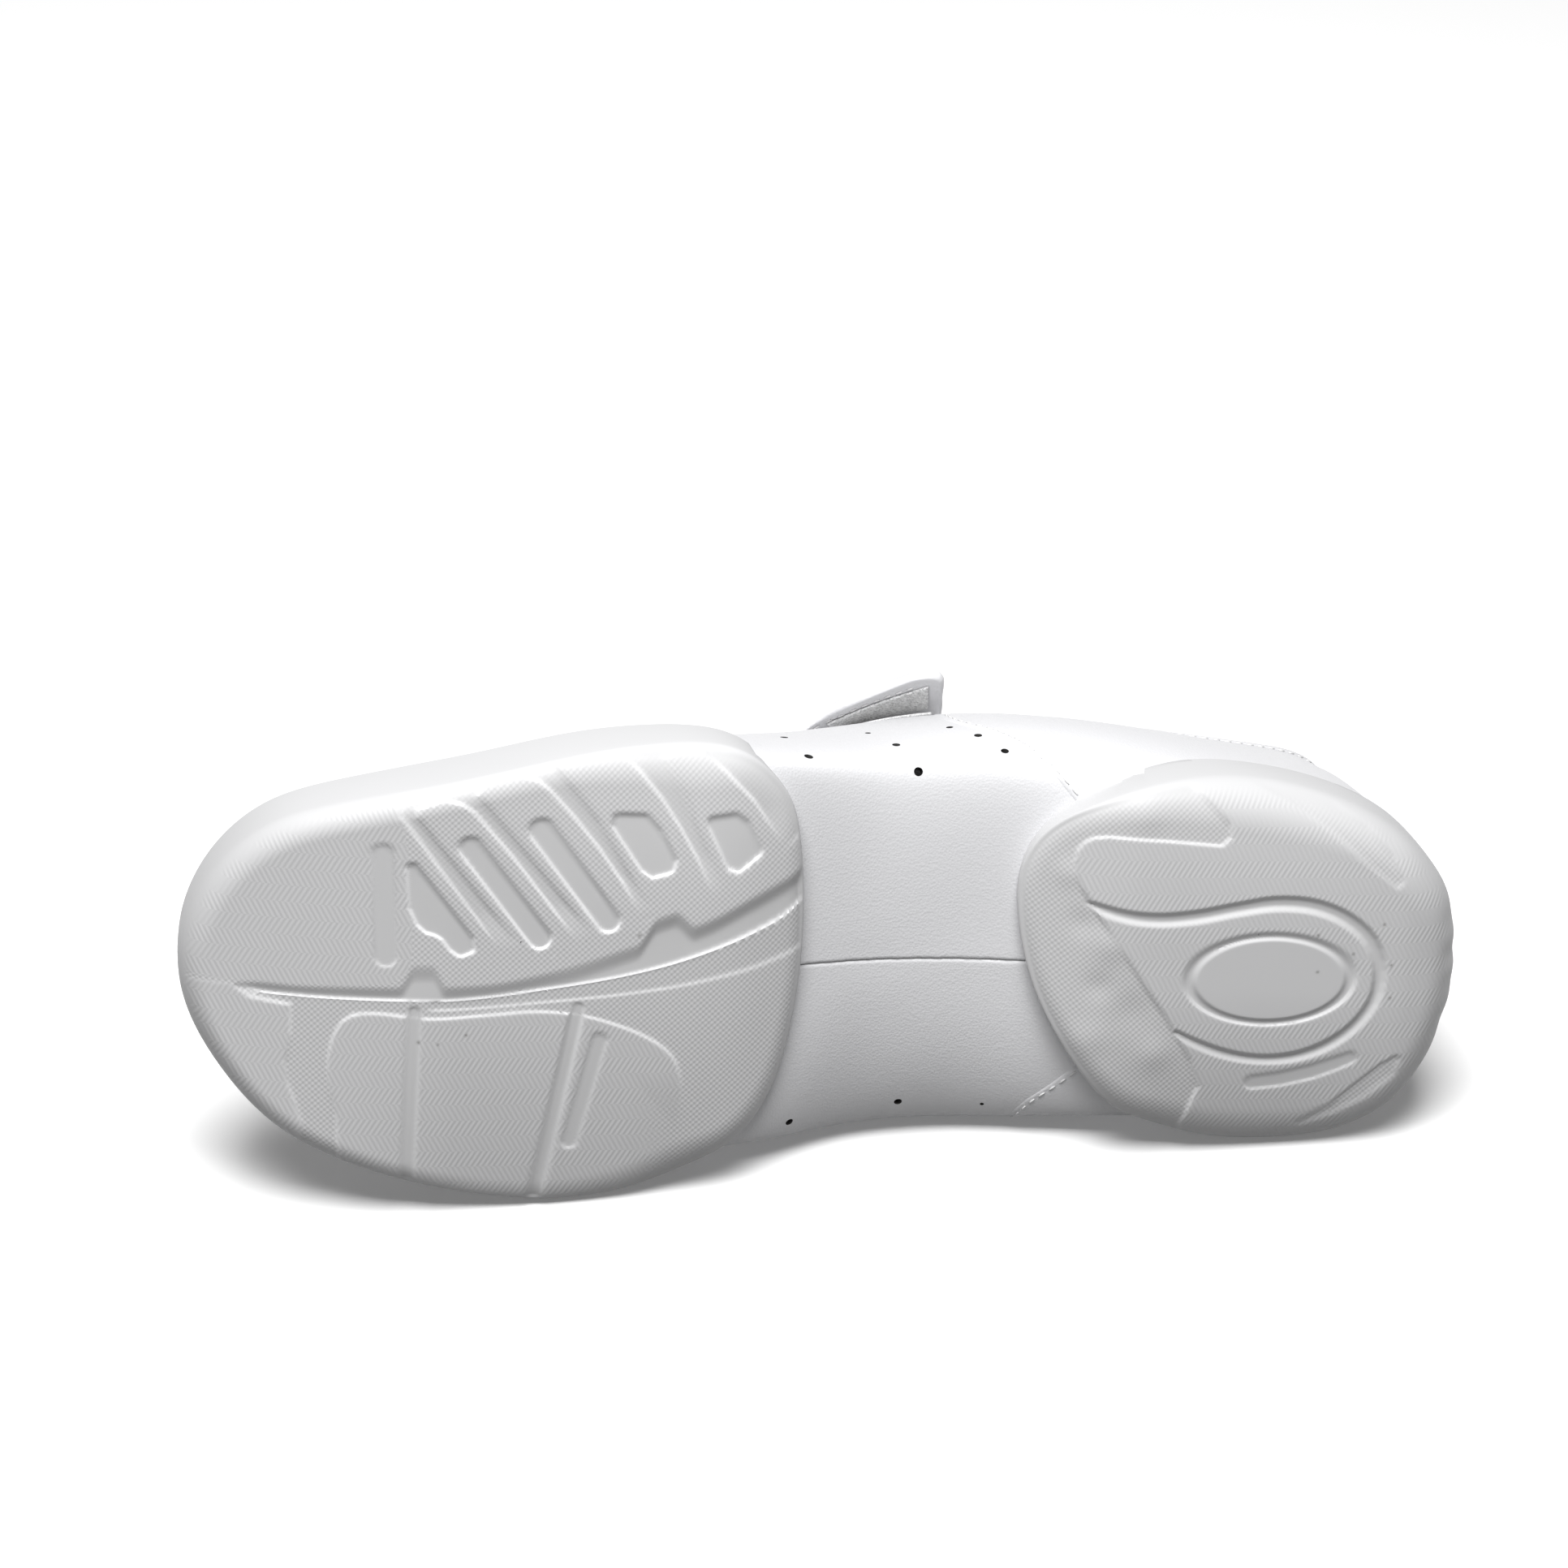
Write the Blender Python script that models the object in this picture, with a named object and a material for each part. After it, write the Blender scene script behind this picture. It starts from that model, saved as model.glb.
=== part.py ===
# Split-sole cheer shoe, left foot, size EU 38, lying on its medial side.
# The tables are in millimetres in the standing shoe: x from the back of the heel to the toe,
# y to the lateral side, z up from the ground. Meshes are made in metres.
import math

import bmesh
import bpy
import numpy as np
from mathutils import Matrix, Vector

MM = 0.001

# Walls and fits
WALL = 2.0
FIT_GAP = 0.3
COUNTER_THICK = 1.0
INSOLE_THICK = 3.5
TONGUE_THICK = 3.0
TAPE_THICK = 0.6
STRAP_THICK = 1.7

# Last: one row for each section from the heel back to the toe tip.
# foot_x, foot_lateral, foot_medial: widest line of the bottom edge.
# edge_rise, edge_power: height and squareness of the rounded bottom edge.
# top_x, top_lateral, top_medial, top_z: collar and throat line.
# belly_lateral, belly_medial, belly_up: swell of the wall above the bottom edge.
# shoulder_out, shoulder_down: how the wall arrives at the collar or throat.
LAST_ROWS = (
    (4, -1.5, -1.5, 2.7, 5.0, 10, -1.5, -1.5, 68, 3.5, 3.5, 16, 3, 14),
    (12, 21.5, -24.5, 2.7, 5.0, 17, 17.5, -20.5, 65.5, 2.0, 2.0, 16, 3, 14),
    (28, 31.8, -34.3, 2.7, 5.0, 33, 25.5, -28, 58.5, 1.5, 1.5, 15, 4, 13),
    (50, 35.6, -34.6, 3.0, 4.5, 55, 30, -31, 54, 1.5, 1.5, 15, 6, 13),
    (74, 36.5, -36.8, 5.0, 3.4, 75, 31, -31.5, 56, 5, 0.6, 13, 8, 13),
    (94, 38.3, -39.6, 6.0, 3.0, 92, 26.5, -28, 64, 4, -1.9, 12, 12, 14),
    (112, 38, -40.8, 6.0, 3.0, 106, 20.8, -22, 74, 2, -2.7, 13, 13, 14),
    (130, 39.5, -41.4, 4.5, 3.4, 119, 18, -18, 73, 2, -0.4, 15, 12, 13),
    (152, 42.0, -41.0, 3.0, 4.5, 136, 15, -15, 65, 1.5, 2.5, 15, 14, 9),
    (180, 40.0, -45.8, 2.7, 5.0, 152, 12, -12, 57, 1.0, 1.0, 15, 20, 8),
    (208, 33.2, -41.4, 2.7, 5.0, 162, 8, -8.5, 52.5, 1.0, 1.0, 15, 30, 8),
    (232, 25.3, -31.0, 2.7, 5.0, 165.5, 3.6, -4.6, 50.5, 0.8, 0.8, 14, 42, 9),
    (246.8, -2.5, -2.5, 2.7, 5.0, 166.5, -0.5, -0.5, 50, 0.5, 0.5, 14, 48, 10),
)
# The medial side of the waist is rounder: edge rise and power for these rows
MEDIAL_WAIST = {4: (7.0, 2.6), 5: (11.0, 2.1), 6: (11.5, 2.0), 7: (8.5, 2.4)}
# Height of the last's bottom along the shoe: x, z
LAST_BOTTOM = ((0, 9.4), (30, 8.6), (60, 8.9), (80, 10.2), (100, 12), (115, 11.6), (135, 8.2),
               (155, 5.6), (180, 5), (205, 5.5), (225, 8.2), (247, 14.5))
SPINE_BACK, SPINE_FRONT = 32.0, 214.0
NORMAL_SHARE = 15.0

# Bottom openings of the upper lie inside this share of the width, away from the waist
OPENING_SHARE = 0.74
WAIST_BACK_ROW, WAIST_FRONT_ROW = 3.4, 7.8

# Forefoot rubber: x, medial, lateral, between a rear point and the toe tip
FOREFOOT_CENTRE = (188.0, -1.0)
FOREFOOT_REAR = (130.6, 5.0)
FOREFOOT_TIP = (250.0, -2.5)
FOREFOOT_ROWS = ((132.4, -16, 27), (136.3, -29, 37), (142.5, -37.5, 43), (151, -43, 45.3),
                 (163, -47.5, 45.2), (177, -49, 43.4), (191, -47.8, 40.3), (205, -45, 37),
                 (219, -40.8, 33.4), (232, -34, 28.3), (242, -23.5, 19.4), (248, -13, 8.5))
# Ground profile x, z and height of the wall's top edge x, z
FOREFOOT_GROUND = ((129, 5.6), (136, 3.0), (143, 1.1), (150, 0.2), (156, 0), (162, 0), (195, 0), (199, 0),
                   (204, 0.3), (210, 0.9), (225, 3.4), (238, 6.8), (250, 10.5))
FOREFOOT_TOP = ((130, 12.5), (138, 14), (150, 17), (165, 18), (200, 18), (225, 20.5), (240, 24), (250, 26))
FOREFOOT_ROLL = ((130, 3.5, 2.0), (138, 5, 4), (150, 8.5, 8), (240, 8.5, 8), (250, 8, 7.5))

# Heel rubber, the same way
HEEL_CENTRE = (44.0, 1.0)
HEEL_REAR = (0.0, -2.0)
HEEL_TIP = (88.8, 15.0)
HEEL_ROWS = ((2.2, -15.5, 12), (7.5, -26, 21), (15, -33, 28), (25, -37.2, 33.4), (37, -38.5, 37),
             (49, -37.4, 38.6), (60, -33.6, 38.2), (69, -28.5, 36.4), (77.5, -18, 33), (84, -6.5, 28),
             (87.6, 5, 22))
HEEL_GROUND = ((0, 3.2), (6, 1.4), (12, 0.2), (18, 0), (24, 0), (56, 0), (62, 0), (68, 0.3), (75, 1.6),
               (83, 4.6), (90, 7.4))
HEEL_TOP = ((0, 21), (15, 19), (40, 18), (58, 17.5), (70, 14), (90, 13.5))
HEEL_ROLL = ((0, 8, 8), (55, 8, 8), (68, 6, 5), (80, 4, 2.2), (90, 3.5, 1.8))
# The rolled edges start gently: squareness of their section, 2 for a quarter ellipse
ROLL_POWER = 2.8

# Tread depths
GROOVE_DEPTH = 1.5
POCKET_DEPTH = 1.2
LOW_DEPTH = 0.5
PILL_DEPTH = 0.7
RING_DEPTH = 0.8

# Main groove: x, middle y, half width
MAIN_GROOVE = ((238, -4.4, 1.0), (228, -4.4, 1.2), (218, -4.0, 1.5), (208, -3.6, 1.6), (198, -3.3, 1.7),
               (189, -2.3, 1.7), (181, -0.8, 1.9), (174, 0.9, 2.4), (167, 2.9, 3.0), (160, 5.3, 3.8),
               (154, 7.3, 4.0), (148, 9.4, 3.9), (142, 11.9, 4.0), (137, 14.3, 4.1), (133.6, 16.3, 3.6))
# Pockets and notches as rounded slots: x, y, half width at one end, then at the other
SLOTS = (
    (204.2, -2.2, 2.2, 204.2, 0.9, 2.3),
    (157.6, 8.0, 3.2, 158.8, 12.2, 3.0),
    (205.0, 17.6, 2.9, 195.9, 6.0, 1.5),
    (196.0, 27.3, 2.05, 181.6, 8.2, 2.05),
    (182.4, 30.6, 2.3, 168.8, 11.6, 2.2),
    (164.6, 30.8, 2.8, 159.8, 23.0, 2.5),
    (146.6, 30.3, 2.8, 142.3, 23.8, 2.7),
)
# Channels between the lateral lugs: x, y of both ends, half width
CHANNELS = (
    (209.0, 34.5, 189.0, 4.2, 1.35),
    (197.0, 38.0, 175.0, 6.6, 1.4),
    (182.5, 43.0, 163.2, 13.0, 1.2),
    (163.0, 45.5, 149.0, 15.5, 1.25),
)
# Grooves across the pod: x, y of both ends, half width
POD_GROOVES = ((205.7, -7.0, 205.7, -46.0, 1.2), (174.3, -6.0, 181.2, -47.0, 1.2))
# Low ground between toe zone, main groove and pod
LOW_FOREFOOT = ((236, -5.8), (229, -7.4), (228.9, -14), (229.6, -19.5), (229, -25), (226.5, -31),
                (228, -42), (217, -50), (219.6, -36), (221.5, -27), (221.8, -19), (220.4, -12.6),
                (216.6, -8.6), (210, -8.4), (203.9, -8.9), (191, -8), (182, -7.3), (172.4, -8.4),
                (164, -11.3), (157, -15.4), (154, -21),
                (154, -33), (158, -52), (128, -52), (128, 9), (137, 9), (148, 4.5), (158, 0.8), (167, -0.8),
                (176, -2.2), (190, -4.4), (205, -5.6), (222, -6.0))
FOREFOOT_PILLS = ((212.7, 24.6, 2.1, 211.4, 3.8, 2.1), (169.9, -13.4, 1.4, 174.6, -35.4, 1.4))

# Curl groove of the heel: x, y of the middle, half width
CURL_GROOVE = ((76.2, 14.4, 0.8), (70.5, 12.6, 1.0), (63, 11.7, 1.1), (55, 12.3, 1.1), (47, 13.9, 1.2),
               (39, 15.1, 1.4), (31, 14.3, 1.4), (24.5, 11.4, 1.4), (19.8, 7.0, 1.4), (17.6, 1.0, 1.3),
               (18.0, -4.8, 1.2), (21, -10.2, 1.1), (26.5, -15, 1.1), (33, -17.6, 1.0), (40, -18.1, 0.9),
               (47, -16.8, 0.9), (53, -14.4, 0.9), (57, -12.3, 0.7))
MEDALLION_CENTRE = (39.3, -0.9)
MEDALLION_OUTER = (16.9, 9.6)
MEDALLION_INNER = (15.6, 8.4)
# Ribbed bands at the back of the heel: x, y of the middle, half width
HEEL_BANDS = (
    ((44.5, 38.4, 0.3), (37, 36.1, 1.2), (30, 32.6, 2.0), (23.5, 28.0, 2.4), (18.6, 23.3, 2.2),
     (15.6, 19.6, 1.1)),
    ((30, -33.0, 0.4), (24, -29.4, 1.1), (18.6, -25.0, 1.9), (14.0, -20.6, 1.9), (12.4, -18.4, 0.9)),
)
HEEL_PILL = ((40.6, -23.4, 1.5), (35, -22.6, 1.6), (29, -21.0, 1.6), (24.5, -19.2, 1.5),
             (21.6, -17.9, 1.3))
LOW_HEEL = ((76, 15), (78.6, 20), (79, 24.6), (76.8, 27.3), (72.6, 28.3), (62, 27.8), (51, 26.8),
            (49.4, 28.4), (49.6, 31), (53, 34.5), (58, 39), (62, 48), (98, 48), (98, -40), (60, -45),
            (54, -33), (51.6, -28), (51.4, -24.4), (53.5, -18.4), (58.6, -11), (64, -2.6), (69.5, 5.8),
            (73.6, 11.6))

# Heel counter overlay: front edge in section rows, lower and upper corner, and wall share at its top
COUNTER_LATERAL = (4.35, 5.25)
COUNTER_MEDIAL = (4.25, 4.95)
COUNTER_TOP = 0.62
COUNTER_CLEAR = 1.7

# Strap: section rows of its rear and front edge, wall shares of its sewn end and of its free end
STRAP_ROWS = (5.3, 7.15)
STRAP_SEWN = 0.60
STRAP_FREE_REAR, STRAP_FREE_FRONT = 0.72, 0.88
STRAP_CROWN = 7.0
# Free end: lift of its rear corner, stand for the tapes under it, share of its width where that runs out
STRAP_LIFT = 6.0
STRAP_STAND = 2.0
STAND_TAPER = 0.25
# Tapes: share of the strap's width and of its free length that they cover
TAPE_ACROSS = (0.06, 0.68)
TAPE_ALONG = (0.43, 0.94)

# Tongue: section rows it spans, tuck under the wall, rise of its middle
TONGUE_ROWS = (6.1, 9.4)
TONGUE_TUCK = 0.86
TONGUE_RISE = 1.5

ROWS = len(LAST_ROWS) - 1
LOOP = 2 * ROWS
COLUMNS = 72

LEATHER = (0.86, 0.86, 0.87, 1.0)
RUBBER = (0.80, 0.80, 0.79, 1.0)
TAPE = (0.62, 0.62, 0.62, 1.0)
FOAM = (0.75, 0.75, 0.75, 1.0)


# Smooth curves


class Loop:
    # Closed smooth curve through rows of numbers, one unit of travel for each row.
    def __init__(self, rows):
        self.rows = np.array(rows, float)
        count = len(self.rows)
        unit = np.eye(count)
        system = 4 * unit + np.roll(unit, 1, 0) + np.roll(unit, -1, 0)
        change = np.roll(self.rows, -1, 0) - np.roll(self.rows, 1, 0)
        self.slopes = np.linalg.solve(system, 3 * change)

    def at(self, travel):
        count = len(self.rows)
        travel = np.mod(np.asarray(travel, float), count)
        first = np.floor(travel).astype(int) % count
        second = (first + 1) % count
        t = (travel - np.floor(travel))[..., None]
        return ((1 + 2 * t) * (1 - t) ** 2 * self.rows[first] + t * (1 - t) ** 2 * self.slopes[first]
                + t * t * (3 - 2 * t) * self.rows[second] + t * t * (t - 1) * self.slopes[second])


def profile(table, x):
    # Smooth height through (x, z) rows.
    knots = np.array([row[0] for row in table], float)
    values = np.array([row[1:] for row in table], float)
    slopes = np.gradient(values, knots, axis=0)
    x = np.clip(np.asarray(x, float), knots[0], knots[-1])
    i = np.clip(np.searchsorted(knots, x) - 1, 0, len(knots) - 2)
    step = (knots[i + 1] - knots[i])[..., None]
    t = ((x - knots[i])[..., None]) / step
    found = ((1 + 2 * t) * (1 - t) ** 2 * values[i] + t * (1 - t) ** 2 * step * slopes[i]
             + t * t * (3 - 2 * t) * values[i + 1] + t * t * (t - 1) * step * slopes[i + 1])
    return found[..., 0] if values.shape[1] == 1 else found


def unit(v):
    return v / np.maximum(np.linalg.norm(v, axis=-1, keepdims=True), 1e-9)


# The last


def last_loop():
    # Columns: foot x, y, spine x, edge rise, edge power, top x, y, z, belly, belly up, shoulder out, down.
    rows = []
    for i in list(range(ROWS + 1)) + list(range(ROWS - 1, 0, -1)):
        (foot_x, lateral, medial, rise, power, top_x, top_lateral, top_medial, top_z,
         belly_lateral, belly_medial, belly_up, out, down) = LAST_ROWS[i]
        is_lateral = len(rows) <= ROWS
        if not is_lateral:
            rise, power = MEDIAL_WAIST.get(i, (rise, power))
        along = (foot_x - LAST_ROWS[0][0]) / (LAST_ROWS[-1][0] - LAST_ROWS[0][0])
        spine = SPINE_BACK + (SPINE_FRONT - SPINE_BACK) * along
        rows.append((foot_x, lateral if is_lateral else medial, spine, rise, power, top_x,
                     top_lateral if is_lateral else top_medial, top_z,
                     belly_lateral if is_lateral else belly_medial, belly_up, out, down))
    return Loop(rows)


LAST = last_loop()


def last_parts(travel):
    row = LAST.at(travel)
    ahead, behind = LAST.at(travel + 0.05), LAST.at(travel - 0.05)
    tangent = unit(ahead[..., :2] - behind[..., :2])
    outward = np.stack([-tangent[..., 1], tangent[..., 0]], -1)
    foot_z = profile(LAST_BOTTOM, row[..., 0]) + row[..., 3]
    foot = np.concatenate([row[..., :2], foot_z[..., None]], -1)
    top = row[..., 5:8]
    lean = unit(outward * NORMAL_SHARE + foot[..., :2] - top[..., :2])
    return row, foot, top, lean


def wall_point(travel, share):
    # Wall of the last: share 0 at the bottom edge, 1 at the collar or throat.
    travel, share = np.broadcast_arrays(np.asarray(travel, float), np.asarray(share, float))
    row, foot, top, lean = last_parts(travel)
    low = foot + np.concatenate([lean * row[..., 8:9], row[..., 9:10]], -1)
    high = top + np.concatenate([lean * row[..., 10:11], -row[..., 11:12]], -1)
    t = share[..., None]
    return (1 - t) ** 3 * foot + 3 * t * (1 - t) ** 2 * low + 3 * t * t * (1 - t) * high + t ** 3 * top


def bottom_point(travel, share):
    # Bottom of the last: share 0 on the middle line, 1 at the bottom edge.
    travel, share = np.broadcast_arrays(np.asarray(travel, float), np.asarray(share, float))
    row, foot, top, lean = last_parts(travel)
    spine_y = np.full_like(row[..., 2], -1.5)
    plan = np.stack([row[..., 2], spine_y], -1)
    plan = plan + (foot[..., :2] - plan) * share[..., None]
    power = row[..., 4]
    rounding = 1 - np.maximum(1 - np.clip(share, 0, 1) ** power, 0) ** (1 / power)
    z = profile(LAST_BOTTOM, plan[..., 0]) * (1 - rounding) + foot[..., 2] * rounding
    return np.concatenate([plan, z[..., None]], -1)


def wall_normal(travel, share):
    e = 0.02
    along = wall_point(travel + e, share) - wall_point(travel - e, share)
    upward = wall_point(travel, share + e) - wall_point(travel, share - e)
    return unit(np.cross(upward, along))


# Meshes


def material(name, colour, roughness):
    made = bpy.data.materials.new(name)
    made.use_nodes = True
    shader = made.node_tree.nodes["Principled BSDF"]
    shader.inputs["Base Color"].default_value = colour
    shader.inputs["Roughness"].default_value = roughness
    return made


def sheet_of(grid, wrap=False, keep=None, flip=False):
    # Open sheet through a grid of points; keep(i, j) may leave faces out.
    grid = np.asarray(grid, float)
    high, wide = grid.shape[:2]
    sheet = bmesh.new()
    verts = [[sheet.verts.new(Vector(grid[i, j])) for j in range(wide)] for i in range(high)]
    for i in range(high - 1):
        for j in range(wide if wrap else wide - 1):
            k = (j + 1) % wide
            if keep is None or keep(i, j):
                corners = (verts[i][j], verts[i][k], verts[i + 1][k], verts[i + 1][j])
                sheet.faces.new(reversed(corners) if flip else corners)
    bmesh.ops.remove_doubles(sheet, verts=sheet.verts, dist=0.02)
    loose = [v for v in sheet.verts if not v.link_faces]
    bmesh.ops.delete(sheet, geom=loose, context="VERTS")
    sheet.normal_update()
    return sheet


def moved(sheet, distance):
    # Places of the sheet's vertices after a move along their normals.
    places = []
    for v in sheet.verts:
        places.append(v.co + v.normal * distance * min(v.calc_shell_factor(), 1.25))
    return places


def slab(sheet, outer, inner):
    # Closed solid between two offsets of an open sheet.
    sheet.verts.index_update()
    solid = bmesh.new()
    above = [solid.verts.new(p) for p in moved(sheet, outer)]
    below = [solid.verts.new(p) for p in moved(sheet, inner)]
    for face in sheet.faces:
        solid.faces.new([above[v.index] for v in face.verts])
        solid.faces.new([below[v.index] for v in reversed(face.verts)])
    for edge in sheet.edges:
        if len(edge.link_faces) == 1:
            loop = edge.link_loops[0]
            a, b = loop.vert.index, loop.link_loop_next.vert.index
            solid.faces.new((above[b], above[a], below[a], below[b]))
    sheet.free()
    return solid


def place(name, solid, parent, look, helper=False):
    bmesh.ops.recalc_face_normals(solid, faces=solid.faces)
    bmesh.ops.triangulate(solid, faces=[f for f in solid.faces if len(f.verts) > 4])
    for v in solid.verts:
        v.co = v.co * MM
    mesh = bpy.data.meshes.new(name)
    solid.to_mesh(mesh)
    solid.free()
    made = bpy.data.objects.new(name, mesh)
    bpy.context.collection.objects.link(made)
    made.parent = parent
    if look:
        mesh.materials.append(look)
    if helper:
        made.hide_render = True
        made.display_type = "WIRE"
    return made


def cut(target, cutter):
    made = target.modifiers.new(cutter.name, "BOOLEAN")
    made.operation = "DIFFERENCE"
    made.solver = "EXACT"
    made.object = cutter


# Rubber units


class Unit:
    # One rubber unit: closed outline, ground profile, rolled edge and wall.
    def __init__(self, centre, rear, tip, rows, ground, top, roll):
        self.centre = np.array(centre)
        points = [rear] + [(x, lateral) for x, medial, lateral in rows] + [tip]
        points += [(x, medial) for x, medial, lateral in reversed(rows)]
        self.outline = Loop(points)
        self.ground, self.top, self.roll = ground, top, roll

    def block(self, columns, flat_rings, roll_rings, wall_rings, lean, cap_z):
        count = len(self.outline.rows)
        edge = self.outline.at(np.arange(columns) * count / columns)
        reach = np.linalg.norm(edge - self.centre, axis=1)
        wide, tall = profile(self.roll, edge[:, 0]).T
        inside = edge + (self.centre - edge) * (wide / reach)[:, None]
        rings = []
        for k in range(1, flat_rings + 1):
            plan = self.centre + (inside - self.centre) * k / flat_rings
            rings.append(np.column_stack([plan, profile(self.ground, plan[:, 0])]))
        for k in range(1, roll_rings + 1):
            turn = 0.5 * math.pi * k / roll_rings
            plan = inside + (edge - inside) * math.sin(turn) ** (2 / ROLL_POWER)
            rise = tall * (1 - max(math.cos(turn), 0.0) ** (2 / ROLL_POWER))
            rings.append(np.column_stack([plan, profile(self.ground, plan[:, 0]) + rise]))
        foot_z = rings[-1][:, 2]
        top_z = np.maximum(profile(self.top, edge[:, 0]), foot_z + 1.0)
        for k in range(1, wall_rings + 1):
            share = k / wall_rings
            plan = edge + unit(self.centre - edge) * lean * share ** 2
            rings.append(np.column_stack([plan, foot_z + (top_z - foot_z) * share]))
        solid = bmesh.new()
        verts = [[solid.verts.new(Vector(p)) for p in ring] for ring in rings]
        ground_z = float(profile(self.ground, self.centre[0]))
        bottom = solid.verts.new((*self.centre, ground_z))
        cap = solid.verts.new((*self.centre, cap_z))
        for j in range(columns):
            k = (j + 1) % columns
            solid.faces.new((bottom, verts[0][j], verts[0][k]))
            solid.faces.new((cap, verts[-1][k], verts[-1][j]))
            for i in range(len(rings) - 1):
                solid.faces.new((verts[i][j], verts[i][k], verts[i + 1][k], verts[i + 1][j]))
        return solid


# Tread cutters


def prism(outline, z_top, z_low=-6.0):
    solid = bmesh.new()
    low = [solid.verts.new((x, y, z_low)) for x, y in outline]
    high = [solid.verts.new((x, y, z_top)) for x, y in outline]
    solid.faces.new(low)
    solid.faces.new(high)
    for j in range(len(outline)):
        k = (j + 1) % len(outline)
        solid.faces.new((low[j], low[k], high[k], high[j]))
    return solid


def slot_outline(x0, y0, half0, x1, y1, half1, steps=5):
    turn = math.atan2(y1 - y0, x1 - x0)
    points = []
    for x, y, half, start in ((x1, y1, half1, turn - math.pi / 2), (x0, y0, half0, turn + math.pi / 2)):
        for k in range(steps + 1):
            angle = start + math.pi * k / steps
            points.append((x + half * math.cos(angle), y + half * math.sin(angle)))
    return points


def ribbon(rows, ground, depth, z_low=-6.0):
    # Cutter along a curved groove, its roof at a depth from the ground profile.
    rows = np.array(rows, float)
    heading = unit(np.gradient(rows[:, :2], axis=0))
    side = np.column_stack([-heading[:, 1], heading[:, 0]])
    solid = bmesh.new()
    rings = []
    for (x, y, half), (sx, sy) in zip(rows, side):
        left, right = (x + sx * half, y + sy * half), (x - sx * half, y - sy * half)
        roof = [float(profile(ground, p[0])) + depth for p in (left, right)]
        rings.append([solid.verts.new((*left, z_low)), solid.verts.new((*right, z_low)),
                      solid.verts.new((*right, roof[1])), solid.verts.new((*left, roof[0]))])
    for first, second in zip(rings, rings[1:]):
        for j in range(4):
            k = (j + 1) % 4
            solid.faces.new((first[j], first[k], second[k], second[j]))
    solid.faces.new(rings[0])
    solid.faces.new(rings[-1])
    return solid


def oval_ring(centre, outer, inner, z_top, steps=32, z_low=-6.0):
    solid = bmesh.new()
    rings = []
    for k in range(steps):
        angle = 2 * math.pi * k / steps
        c, s = math.cos(angle), math.sin(angle)
        far = (centre[0] + outer[0] * c, centre[1] + outer[1] * s)
        near = (centre[0] + inner[0] * c, centre[1] + inner[1] * s)
        rings.append([solid.verts.new((*far, z_low)), solid.verts.new((*near, z_low)),
                      solid.verts.new((*near, z_top)), solid.verts.new((*far, z_top))])
    for first, second in zip(rings, rings[1:] + rings[:1]):
        for j in range(4):
            k = (j + 1) % 4
            solid.faces.new((first[j], first[k], second[k], second[j]))
    return solid


# Build


def lay_down(points_of):
    # Turn that rests forefoot edge, heel edge and upper on the floor, medial side down.
    turn = Matrix.Rotation(math.radians(4.2), 3, "Y") @ Matrix.Rotation(math.radians(-8.5), 3, "X")
    turn = np.array(turn @ Matrix(((-1, 0, 0), (0, 0, 1), (0, 1, 0))))
    for _ in range(12):
        lowest = [points[np.argmin(points @ turn[2])] for points in points_of]
        up = unit(np.cross(lowest[1] - lowest[0], lowest[2] - lowest[0]))
        up = up if up @ turn[2] > 0 else -up
        heelward = np.array([-1.0, 0, 0])
        across = unit(heelward - up * (heelward @ up))
        turn = np.array([across, np.cross(up, across), up])
    return turn


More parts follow.
